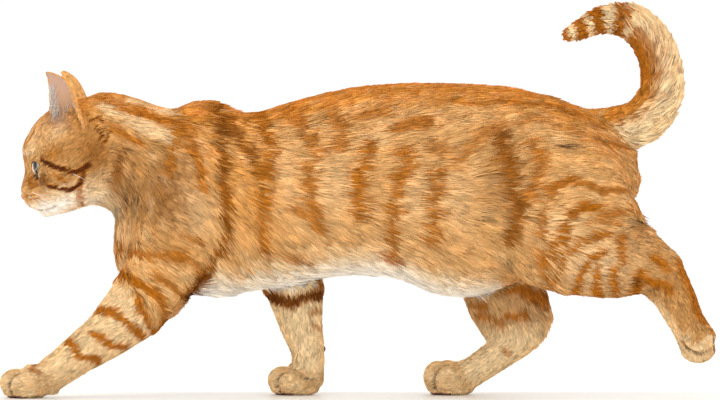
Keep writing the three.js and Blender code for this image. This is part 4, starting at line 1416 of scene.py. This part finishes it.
def add(tree, kind, links=None, **settings):
    """A shader node with its settings and the sockets that feed it."""
    node = tree.nodes.new(kind)
    for key, value in settings.items():
        setattr(node, key, value)
    for socket, source in (links or {}).items():
        if isinstance(source, bpy.types.NodeSocket):
            tree.links.new(source, node.inputs[socket])
        else:
            node.inputs[socket].default_value = source
    return node


def attribute(tree, name):
    return add(tree, "ShaderNodeAttribute", attribute_name=name).outputs["Fac"]


def maths(tree, operation, a, b=0.0):
    return add(tree, "ShaderNodeMath", {0: a, 1: b}, operation=operation).outputs[0]


def sum_of_squares(tree, a, b):
    return maths(tree, "ADD", maths(tree, "MULTIPLY", a, a), maths(tree, "MULTIPLY", b, b))


def mixed(tree, factor, a, b, blend="MIX"):
    """Colour a turned into colour b by a factor."""
    node = add(tree, "ShaderNodeMix", {0: factor, 6: a, 7: b}, data_type="RGBA", blend_type=blend)
    return node.outputs[2]


def new_material(name, **inputs):
    """A material, its node tree and its shader, with values for the shader's sockets."""
    material = bpy.data.materials.new(name)
    material.use_nodes = True
    shader = material.node_tree.nodes["Principled BSDF"]
    for socket, value in inputs.items():
        shader.inputs[socket.replace("_", " ")].default_value = value
    return material, material.node_tree, shader


def rgba(colour):
    return (*colour, 1.0)


def fine_grain(tree, shader, scale, strength, depth):
    """Roughens a surface with fine grain, and gives the grain for its colour to follow."""
    place = add(tree, "ShaderNodeTexCoord").outputs["Object"]
    grain = add(tree, "ShaderNodeTexNoise", {"Vector": place, "Scale": scale, "Detail": 4.0})
    value = grain.outputs["Fac"]
    links = {"Height": value, "Strength": strength, "Distance": depth * MM}
    tree.links.new(add(tree, "ShaderNodeBump", links).outputs[0], shader.inputs["Normal"])
    return value


def coat_colour(tree, colours):
    """The markings laid one over the other, as both skin and coat carry them."""
    colour = rgba(colours.ginger)
    for name, over in (("rust", colours.rust), ("brown", colours.brown), ("cream", colours.cream),
                       ("bar", colours.bar), ("white", colours.white), ("deep", colours.deep)):
        colour = mixed(tree, attribute(tree, name), colour, rgba(over))
    return colour


def coat_material(colours):
    # soft dry hair: dull, with a faint sheen at grazing angles, dark at the root, pale at the tip
    material, tree, shader = new_material(
        "soft dry ginger fur", Roughness=0.62, Specular_IOR_Level=0.06, Sheen_Weight=0.02,
        Sheen_Roughness=0.4,
    )
    base = coat_colour(tree, colours)
    along = attribute(tree, "along")
    tone = maths(tree, "MULTIPLY", attribute(tree, "tone"), 0.14)
    shade = maths(tree, "ADD", tone, maths(tree, "MULTIPLY", along, 0.3))
    shade = maths(tree, "ADD", shade, 0.84)
    lit = mixed(tree, 1.0, base, shade, "MULTIPLY")
    ear = mixed(tree, attribute(tree, "hollow"), lit, rgba([0.6 * c + 0.3 for c in colours.ear]))
    # dark rims of lids and lips, and painted shade in the grooves
    rim_and_crease_shade = maths(tree, "MULTIPLY", attribute(tree, "rim_and_crease_shade"), 0.8)
    tree.links.new(mixed(tree, rim_and_crease_shade, ear, rgba(colours.rim_and_crease_shade)), shader.inputs["Base Color"])
    return material


def skin_material(colours):
    # skin under the coat: the coat's own colours a little darker as painted shade under the tufts, bare
    # pink in the ears
    material, tree, shader = new_material(
        "skin with short underfur in painted shade", Roughness=0.7, Specular_IOR_Level=0.25
    )
    # painted shade: the coat's colours darkened where the skin lies under the tufts
    under = mixed(tree, 1.0, coat_colour(tree, colours), rgba([0.8] * 3), "MULTIPLY")
    bare_skin = mixed(tree, attribute(tree, "hollow"), under, rgba(colours.ear))
    # dark rims of lids and lips, and painted shade in the grooves
    dark = mixed(tree, attribute(tree, "rim_and_crease_shade"), bare_skin, rgba(colours.rim_and_crease_shade))
    tree.links.new(dark, shader.inputs["Base Color"])
    fine_grain(tree, shader, 900.0, 0.25, 0.6)
    return material


def eye_material(colours):
    # iris with a slit pupil, pale and fibrous in its middle, dark at its edge
    material, tree, shader = new_material("grey-green iris", Roughness=0.35)
    across, height = attribute(tree, "across"), attribute(tree, "height")
    reach = maths(tree, "SQRT", sum_of_squares(tree, across, height))
    angle = maths(tree, "ARCTAN2", height, across)
    spoke = add(tree, "ShaderNodeCombineXYZ", {0: maths(tree, "MULTIPLY", angle, 9.0), 1: reach})
    fibre = add(tree, "ShaderNodeTexNoise", {"Vector": spoke.outputs[0], "Scale": 3.0, "Detail": 3.0})
    iris = mixed(tree, fibre.outputs["Fac"], rgba(colours.iris), rgba(colours.iris_light))
    rim = add(tree, "ShaderNodeMapRange", {0: reach, 1: 0.84, 2: 1.0})
    iris = mixed(tree, rim.outputs[0], iris, rgba(colours.pupil))
    wide, tall = maths(tree, "DIVIDE", across, 0.17), maths(tree, "DIVIDE", height, 0.86)
    slit = sum_of_squares(tree, wide, tall)
    pupil = add(tree, "ShaderNodeMapRange", {0: slit, 1: 1.15, 2: 0.85})
    iris = mixed(tree, pupil.outputs[0], iris, rgba(colours.pupil))
    tree.links.new(iris, shader.inputs["Base Color"])
    return material


def cornea_material():
    # clear wet dome over the iris: it catches the studio lights
    return new_material(
        "clear wet cornea", Base_Color=(1, 1, 1, 1), Roughness=0.03, IOR=1.06,
        Transmission_Weight=1.0, Coat_Weight=0.2, Coat_IOR=1.3,
    )[0]


def grained_material(name, colour, roughness, grain, depth, dark, painted_shade_note=""):
    """A plain finish broken up by grain of a size and depth in millimetres, darkened as painted shade
    where a noted attribute is high.
    """
    material, tree, shader = new_material(name, Roughness=roughness)
    value = fine_grain(tree, shader, 1000 / grain, 0.4, depth)
    shown = mixed(tree, value, rgba([c * dark for c in colour]), rgba(colour))
    # painted shade where the noted attribute is high
    if painted_shade_note:
        shown = mixed(tree, attribute(tree, painted_shade_note), shown, rgba([c * 0.25 for c in colour]))
    tree.links.new(shown, shader.inputs["Base Color"])
    return material


# ---------------------------------------------------------------- eyes, nose, whiskers, claws


def tube(line, radii, sides=6):
    """Points and triangles of a closed tapering tube along a line of places."""
    line = np.asarray(line, dtype=float)
    ahead = unit(np.gradient(line, axis=0))
    first = unit(np.cross(ahead, [0.3, 0.5, 0.81]))
    second = np.cross(ahead, first)
    turn = np.linspace(0, 2 * np.pi, sides, endpoint=False)
    rings = [
        place + radius * (np.outer(np.cos(turn), a) + np.outer(np.sin(turn), b))
        for place, radius, a, b in zip(line, radii, first, second)
    ]
    return capped(rings)


def joined(parts):
    """Several closed bodies as one list of points and triangles."""
    points, faces, first = [], [], 0
    for part_points, part_faces in parts:
        points.append(part_points)
        faces.append(np.asarray(part_faces) + first)
        first += len(part_points)
    return np.concatenate(points), np.concatenate(faces)


def lathe(side, profile, columns=48):
    """A body turned about an eye's gaze, from (radius, forward) pairs, in the row frame."""
    outward, upward, ahead = eye_axes(side)
    turn = np.linspace(0, 2 * np.pi, columns, endpoint=False)
    circle = np.outer(np.cos(turn), outward) + np.outer(np.sin(turn), upward)
    rings = [eye_centre(side) + radius * circle + forward * ahead for radius, forward in profile]
    points, faces = capped(rings)
    flat = [(radius * math.cos(a), radius * math.sin(a)) for radius, _ in profile for a in turn]
    return from_head(points), faces, np.array([*flat, (0, 0), (0, 0)])


def eye_pieces(side):
    """The ball with its sunken iris, and the clear dome over it."""
    radius, iris = EYE["radius"] - 0.3, 8.7
    edge = math.asin(iris / radius)
    sweep = np.linspace(np.pi - 0.05, edge, 22)
    ball_profile = [(radius * math.sin(a), radius * math.cos(a)) for a in sweep]
    floor = radius * math.cos(edge)
    ball_profile += [(iris * k, floor - 0.2 + 1.9 * (1 - k**2)) for k in np.linspace(0.97, 0.05, 10)]
    ball_points, ball_faces, flat = lathe(side, ball_profile)
    bulge, back = 9.6, 1.6
    reach = math.asin((iris + 0.3) / bulge)
    angles = np.linspace(0.04, reach, 14)
    outer, inner = (
        [(size * math.sin(a), back + size * math.cos(a)) for a in turns]
        for size, turns in ((bulge, angles), (bulge - 0.3, angles[::-1]))
    )
    dome_points, dome_faces, _ = lathe(side, outer + inner)
    return (ball_points, ball_faces, flat / iris), (dome_points, dome_faces)


def nose_form():
    """Bare nose leather: broad above, narrow below, with two comma-shaped nostrils."""
    points, faces = ball((0, 0, 0), (1, 1, 1), 72, 48)
    x, y, z = points.T
    broad = 1 + 0.30 * smoothstep(-0.6, 0.8, z) - 0.25 * smoothstep(-0.2, -1.0, z)
    shape = np.stack([4.4 * x, 5.0 * y * broad, 4.3 * z * (1 - 0.16 * np.abs(y))], axis=1)
    holes = np.zeros(len(points))
    for sign in (-1, 1):
        for place, reach in (((2.6, -0.1), 0.95), ((3.5, -0.5), 0.75), ((4.3, -0.2), 0.6)):
            gap = np.hypot(shape[:, 1] - sign * place[0], (shape[:, 2] - place[1]) * 1.3)
            holes = np.maximum(holes, np.exp(-((gap / reach) ** 2)) * (x > 0))
    seam = np.exp(-((shape[:, 1] / 0.5) ** 2)) * smoothstep(0.1, -0.6, z) * (x > 0)
    shape[:, 0] -= 1.7 * holes + 0.5 * seam
    return from_head(shape + [44.2, 0, -11.6]), faces, holes


WHISKER = 0.15  # thickness of a whisker at its root, from its middle line
EAR_HAIRS = 420  # in each ear
# Where the hairs of an ear start, up its height and round its cup: on the edge, on the floor.
HAIR_PLACES = (((0.16, 0.78), (0.05, 0.9)), ((0.12, 0.36), (0.3, 2.2)))
WRIST_PADS = [((-222, -27.5, 26), -0.6), ((-26, 30, 46.5), 0.6)]  # place and how far it stands out


def whisker_lines(length, seed=3):
    """Roots on the pads, brows and cheeks, and the heading and length of each whisker."""
    rng = np.random.default_rng(seed)
    lines = []
    for side in (-1, 1):
        for row in range(4):
            for column in range(4):
                forward, across = 40 - 3.0 * column, side * (8.5 + 1.4 * column)
                root = np.array([forward, across, -14.0 - 2.4 * row - 0.5 * column])
                back, out = -0.15 - 0.16 * column, side * (0.62 + 0.04 * column)
                heading = unit(np.array([back, out, -0.55 - 0.22 * row + 0.1 * column]))
                reach = length * rng.uniform(0.55, 1.0) * (0.6 + 0.13 * column)
                lines.append((root, heading, reach))
        for k in range(3):
            root = np.array([24 - 2.2 * k, side * (12 + 2.0 * k), 15.5])
            heading = unit(np.array([0.25, side * 0.35, 0.9]))
            lines.append((root, heading, 0.4 * length * rng.uniform(0.8, 1)))
        heading = unit(np.array([-0.65, side * 0.45, -0.6]))
        lines.append((np.array([-6, side * 26.5, -11]), heading, 0.4 * length))
    return lines


def ear_hairs(seed=8):
    """Long pale hairs from the front edge and the floor of each ear's cup."""
    rng = np.random.default_rng(seed)
    steps = np.linspace(0, 1, 5)
    parts = []
    for side in (-1, 1):
        ahead, across = ear_axes(side)
        for k in range(EAR_HAIRS):
            low = k % 3 == 0
            (start, end), (first, last) = HAIR_PLACES[low]
            t, angle = rng.uniform(start, end), rng.uniform(first, last)
            root = ear_section(t, side, EAR["thick"], np.array([angle]), True)[0]
            lean = -0.3 if low else -0.8
            heading = lean * across + 0.35 * ahead + [0, 0, 0.75] + rng.normal(0, 0.15, 3)
            reach = rng.uniform(6, 12) * (1 - 0.35 * t)
            line = root + np.outer(steps * reach, unit(heading))
            line += np.outer(steps**2 * reach * 0.3, -across)
            parts.append(tube(from_head(line), 0.11 * (1.05 - steps), 4))
    return joined(parts)


def whiskers(skin, length):
    """Tapering whiskers that start in the skin and droop toward their tips."""
    tree = surface(skin["points"], skin["triangles"])
    steps = np.linspace(-0.03, 1, 12)
    droop = np.outer(steps.clip(0) ** 2, [0.12, 0, -0.22])
    radii = WHISKER * (1.02 - steps.clip(0)) ** 0.8 + 0.02
    parts = []
    for root, heading, reach in whisker_lines(length):
        start = np.array(tree.find_nearest(from_head(root).tolist())[0])
        line = start + reach * (np.outer(steps, head_vector(heading)) + droop)
        parts.append(tube(line, radii))
    return joined(parts)


def pad_forms(skin):
    """Bare pads under each paw: four of the toes and the broad one behind them."""
    parts = []
    for name, (_, turn, slack, _) in PAW_PLACES.items():
        sunk = 2.2 - slack if turn else 0.0
        for toe, ahead in ((0, 1), (1, 2)):
            for sign in (-1, 1):
                place = (TOE["forward"][toe] + ahead, sign * TOE["side"][toe], 1.35 + sunk)
                points, faces = ball(place, (5.2, 3.5, 1.6), 24, 14)
                parts.append((from_paw(name, points), faces))
        middle = 21 if turn else 16.5
        points, faces = ball((middle, 0, 1.5 + sunk), (7.0, 8.5, 1.8), 32, 16)
        lobes = 1 + 0.12 * np.cos(3 * np.arctan2(points[:, 1], points[:, 0] - middle))
        points[:, :2] = (points[:, :2] - [middle, 0]) * lobes[:, None] + [middle, 0]
        parts.append((from_paw(name, points), faces))
    tree = surface(skin["points"], skin["triangles"])
    for place, raised in WRIST_PADS:
        laid, out = (np.array(found) for found in tree.find_nearest(place)[:2])
        parts.append(ball(laid + raised * out, (2.4, 3.0, 3.0), 20, 14))
    return joined(parts)


def claw_forms():
    """Curved claws drawn back between the toes, so that only their tips show."""
    angles, radii = np.linspace(0.3, 1.6, 9), np.linspace(1.25, 0.1, 9)
    parts = []
    for name in PAW_PLACES:
        for forward, across in zip(TOE["forward"], TOE["side"]):
            for sign in (-1, 1):
                ahead, up = forward + 4.6 + 5.4 * np.sin(angles), 4.6 + 4.4 * np.cos(angles)
                arc = np.stack([ahead, np.full(9, sign * (across - 0.6)), up], axis=1)
                parts.append(tube(from_paw(name, arc), radii, 10))
    return joined(parts)


# ---------------------------------------------------------------- the add-on


def colour_setting(name, description, hex_colour):
    return FloatVectorProperty(
        name=name, description=description, subtype="COLOR", size=3, min=0, max=1,
        default=linear(hex_colour),
    )


def number_setting(name, description, default, low, high, **more):
    return FloatProperty(
        name=name, description=description, default=default, min=low, max=high, **more
    )


class CAT_PG_coat(bpy.types.PropertyGroup):
    """How the coat grows and its colours."""

    length: number_setting("Tuft length", "Times the natural length", 1.0, 0.5, 1.5)
    density: number_setting("Tuft density", "Times the natural density", 1.0, 0.2, 1.2)
    ginger: colour_setting("Ginger", "Ground colour of the flanks", "D9A768")
    rust: colour_setting("Rust", "Saddle, shoulders and tail", "D38B2E")
    # also used for the painted shade deep in the ears' cups
    brown: colour_setting("Brown", "Ticked fur of the neck and hip", "945B20")
    bar: colour_setting("Bars", "Tabby bars", "B06812")
    # also used for the painted shade in the neck's folds
    deep: colour_setting("Deep bars", "Darkest lines of face and legs", "52240A")
    cream: colour_setting("Cream", "Belly, feet and pale bands", "EFD4A6")
    white: colour_setting("White", "Chin and underside", "F6EEE2")
    ear: colour_setting("Ear skin", "Bare skin inside the ears", "C09A82")
    # the lids' and lips' own dark rims, and painted shade in the grooves of philtrum, wrist and toes
    rim_and_crease_shade: colour_setting("Lid and lip", "Dark rims of lids, lips and toe clefts", "4A2A1C")


class CAT_PG_features(bpy.types.PropertyGroup):
    """Eyes, nose and whiskers."""

    iris: colour_setting("Iris", "Outer colour of the iris", "7C866A")
    iris_light: colour_setting("Iris light", "Fibres of the iris", "C0C8B0")
    pupil: colour_setting("Pupil", "Pupil and rim of the iris", "0B0B08")
    nose: colour_setting("Nose", "Bare nose leather", "C98472")
    pad: colour_setting("Pads", "Bare pads of the feet", "6E4438")
    claw: colour_setting("Claws", "Translucent horn", "E6D6C4")
    whisker: colour_setting("Whiskers", "Stiff white hair", "F6F2EA")
    whisker_length: number_setting(
        "Whisker length", "Longest whisker", 0.042, 0.01, 0.06, unit="LENGTH"
    )


class CAT_PG_stage(bpy.types.PropertyGroup):
    """Base, floor and light."""

    base: colour_setting("Base", "Painted display base", "E9E6DF")
    floor: colour_setting("Floor", "Studio floor", "FDFDFC")
    daylight: number_setting("Daylight", "Strength of the soft light all round", 1.05, 0, 3)
    key: number_setting("Key light", "Power of the main light", 18.0, 0, 200, unit="POWER")


# Lights by name: place, size and power beside the key light's. All look at the cat's middle.
LIGHTS = {
    "key": ((-0.9, -1.5, 1.9), 1.4, 1.0),
    "top": ((0.3, 0.1, 2.4), 2.2, 0.6),
    "back": ((1.2, 1.6, 1.5), 1.5, 0.5),
    "fill": ((0.1, -2.0, 0.35), 1.2, 0.45),
}
LIT_PLACE = (0, 0, 0.16)
CAMERA = {"place": (0.0017, -2.7, 0.1283), "tilt": 90.896, "lens": 163.0, "sensor": 36.0}
FLOOR_REACH = 6000

BUILT = {}  # the skin, once it is made


def rides(piece, slot, *replaced):
    """Says what a piece rides on and hides the nodes that it replaces. Its slot is not used."""
    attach(piece, "root")
    if replaced:
        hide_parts(*replaced)
    return piece


class CAT_OT_skin(bpy.types.Operator):
    """One skin in place of all the flesh, with lids, lips and toes"""

    bl_idname = "cat.skin"
    bl_label = "Skin"

    def execute(self, context):
        skin = BUILT["skin"] = sculpt_skin()
        piece = placed("skin", skin["mesh"])
        thin_out(piece, skin)
        points, triangles = points_of(piece.data), triangles_of(piece.data)
        nearest = nearest_point(skin["points"], points)
        found = marks(points, normals_at(points, triangles), skin["owner"][nearest],
                      skin["rim"][nearest], skin["sunk"][nearest])
        for name, values in found.items():
            note(piece.data, name, values)
        piece.data.shade_smooth()
        piece.data.materials.append(skin_material(context.scene.cat_coat))
        rides(piece, "coat_ginger", *FLESH)
        return {"FINISHED"}


def thin_out(piece, skin):
    """Brings the skin down to a fair number of triangles, least so on the face and toes."""
    points = skin["points"]
    fine = face_area(points) | toe_area(points) | ear_area(points)
    group = piece.vertex_groups.new(name="plain")
    group.add(np.flatnonzero(~fine).tolist(), 1.0, "REPLACE")
    thin = piece.modifiers.new("Thin out", "DECIMATE")
    thin.vertex_group = "plain"
    thin.ratio = SKIN_TRIANGLES / len(skin["triangles"])
    mesh = with_modifiers(piece)
    piece.modifiers.clear()
    piece.vertex_groups.clear()
    piece.data = mesh


class CAT_OT_coat(bpy.types.Operator):
    """The coat, as solid tufts that follow the lie of the hair"""

    bl_idname = "cat.coat"
    bl_label = "Coat"

    def execute(self, context):
        colours = context.scene.cat_coat
        for piece in make_coat(BUILT["skin"], colours, coat_material(colours)):
            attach(piece, "root")
        return {"FINISHED"}


class CAT_OT_eyes(bpy.types.Operator):
    """Eyeballs with sunken irises under clear domes"""

    bl_idname = "cat.eyes"
    bl_label = "Eyes"

    def execute(self, context):
        iris, cornea = eye_material(context.scene.cat_features), cornea_material()
        for side, name in ((-1, "left"), (1, "right")):
            (points, faces, flat), dome = eye_pieces(side)
            ball_piece = new_mesh(f"eyeball_{name}", points, faces)
            note(ball_piece.data, "across", flat[:, 0])
            note(ball_piece.data, "height", flat[:, 1])
            ball_piece.data.materials.append(iris)
            rides(ball_piece, "eye", f"eye_{name}")
            dome_piece = new_mesh(f"cornea_{name}", *dome)
            dome_piece.data.materials.append(cornea)
            rides(dome_piece, "eye")
        return {"FINISHED"}


class CAT_OT_nose(bpy.types.Operator):
    """Nose leather with its nostrils"""

    bl_idname = "cat.nose"
    bl_label = "Nose"

    def execute(self, context):
        points, faces, holes = nose_form()
        piece = new_mesh("nose_leather", points, faces)
        note(piece.data, "holes", smoothstep(0.35, 0.9, holes))
        # moist pebbled leather, with painted shade inside the nostrils
        leather = grained_material(
            "moist pink leather", context.scene.cat_features.nose, roughness=0.38, grain=0.6,
            depth=0.12, dark=0.85, painted_shade_note="holes",
        )
        piece.data.materials.append(leather)
        rides(piece, "nose", "nose")
        return {"FINISHED"}


class CAT_OT_whiskers(bpy.types.Operator):
    """Whiskers of the muzzle, brows and cheeks"""

    bl_idname = "cat.whiskers"
    bl_label = "Whiskers"

    def execute(self, context):
        features = context.scene.cat_features
        whisker_piece = new_mesh("whiskers", *whiskers(BUILT["skin"], features.whisker_length / MM))
        for piece in (whisker_piece, new_mesh("ear_hairs", *ear_hairs())):
            # stiff, slightly glossy hair
            hair = grained_material(
                "stiff white hair", features.whisker, roughness=0.3, grain=2.0, depth=0.01,
                dark=0.9,
            )
            piece.data.materials.append(hair)
            rides(piece, "coat_cream")
        return {"FINISHED"}


class CAT_OT_feet(bpy.types.Operator):
    """Bare pads and drawn-back claws"""

    bl_idname = "cat.feet"
    bl_label = "Pads and claws"

    def execute(self, context):
        features = context.scene.cat_features
        pads = new_mesh("pads", *pad_forms(BUILT["skin"]))
        # rough bare skin
        bare_skin = grained_material(
            "rough bare pad skin", features.pad, roughness=0.6, grain=0.8, depth=0.15, dark=0.7
        )
        pads.data.materials.append(bare_skin)
        rides(pads, "nose")
        claws = new_mesh("claws", *claw_forms())
        # smooth horn, slightly glossy
        horn = grained_material(
            "smooth pale horn", features.claw, roughness=0.3, grain=1.5, depth=0.02, dark=0.85
        )
        claws.data.materials.append(horn)
        rides(claws, "nose")
        return {"FINISHED"}


class CAT_OT_base(bpy.types.Operator):
    """Paint on the display base"""

    bl_idname = "cat.base"
    bl_label = "Display base"

    def execute(self, context):
        # satin paint over wood, with a trace of roller grain
        paint = grained_material(
            "satin paint on wood", context.scene.cat_stage.base, roughness=0.42, grain=1.2,
            depth=0.02, dark=0.97,
        )
        mesh = NODES["stand_base"].data
        mesh.materials.clear()
        mesh.materials.append(paint)
        return {"FINISHED"}


class CAT_OT_stage(bpy.types.Operator):
    """Floor, soft studio light and camera"""

    bl_idname = "cat.stage"
    bl_label = "Stage"

    def execute(self, context):
        settings, scene = context.scene.cat_stage, context.scene
        corners = [(x * FLOOR_REACH, y * FLOOR_REACH, 0) for x, y in ((-1, -1), (1, -1), (1, 1), (-1, 1))]
        floor = new_mesh("floor", corners, [(0, 1, 2, 3)], smooth=False)
        # matt white paint, with the faintest grain
        matt = grained_material(
            "matt white floor", settings.floor, roughness=0.8, grain=4.0, depth=0.02, dark=0.985
        )
        floor.data.materials.append(matt)
        world = bpy.data.worlds.new("soft daylight")
        world.use_nodes = True
        daylight = world.node_tree.nodes["Background"].inputs
        daylight["Color"].default_value = (1, 1, 1, 1)
        daylight["Strength"].default_value = settings.daylight
        scene.world = world
        scene.view_settings.view_transform = "Standard"
        for name, (place, size, power) in LIGHTS.items():
            light = bpy.data.lights.new(name, "AREA")
            light.size, light.energy = size, settings.key * power
            lamp = placed(name, light)
            lamp.location = place
            looking = Vector(LIT_PLACE) - lamp.location
            lamp.rotation_euler = looking.to_track_quat("-Z", "Y").to_euler()
        camera = bpy.data.cameras.new("camera")
        camera.lens, camera.sensor_width = CAMERA["lens"], CAMERA["sensor"]
        viewer = placed("camera", camera)
        viewer.location = CAMERA["place"]
        viewer.rotation_euler = (math.radians(CAMERA["tilt"]), 0, 0)
        scene.camera = viewer
        return {"FINISHED"}


class CAT_PT_panel(bpy.types.Panel):
    """Lists the pieces in the order they are made"""

    bl_idname = "CAT_PT_panel"
    bl_label = "Ginger tabby cat"
    bl_space_type = "VIEW_3D"
    bl_region_type = "UI"
    bl_category = "Cat"

    def draw(self, context):
        scene = context.scene
        for settings in (scene.cat_coat, scene.cat_features, scene.cat_stage):
            box = self.layout.box()
            for key in type(settings).__annotations__:
                box.prop(settings, key)
        for operator in OPERATORS:
            self.layout.operator(operator.bl_idname)


OPERATORS = (CAT_OT_skin, CAT_OT_coat, CAT_OT_eyes, CAT_OT_nose, CAT_OT_whiskers, CAT_OT_feet,
             CAT_OT_base, CAT_OT_stage)
CLASSES = (CAT_PG_coat, CAT_PG_features, CAT_PG_stage, *OPERATORS, CAT_PT_panel)


def register():
    for made in CLASSES:
        bpy.utils.register_class(made)
    bpy.types.Scene.cat_coat = PointerProperty(type=CAT_PG_coat)
    bpy.types.Scene.cat_features = PointerProperty(type=CAT_PG_features)
    bpy.types.Scene.cat_stage = PointerProperty(type=CAT_PG_stage)


def unregister():
    for made in reversed(CLASSES):
        bpy.utils.unregister_class(made)
    del bpy.types.Scene.cat_coat, bpy.types.Scene.cat_features, bpy.types.Scene.cat_stage


def main():
    register()
    bpy.ops.cat.skin()
    bpy.ops.cat.coat()
    bpy.ops.cat.eyes()
    bpy.ops.cat.nose()
    bpy.ops.cat.whiskers()
    bpy.ops.cat.feet()
    bpy.ops.cat.base()
    bpy.ops.cat.stage()


if __name__ == "__main__":
    main()
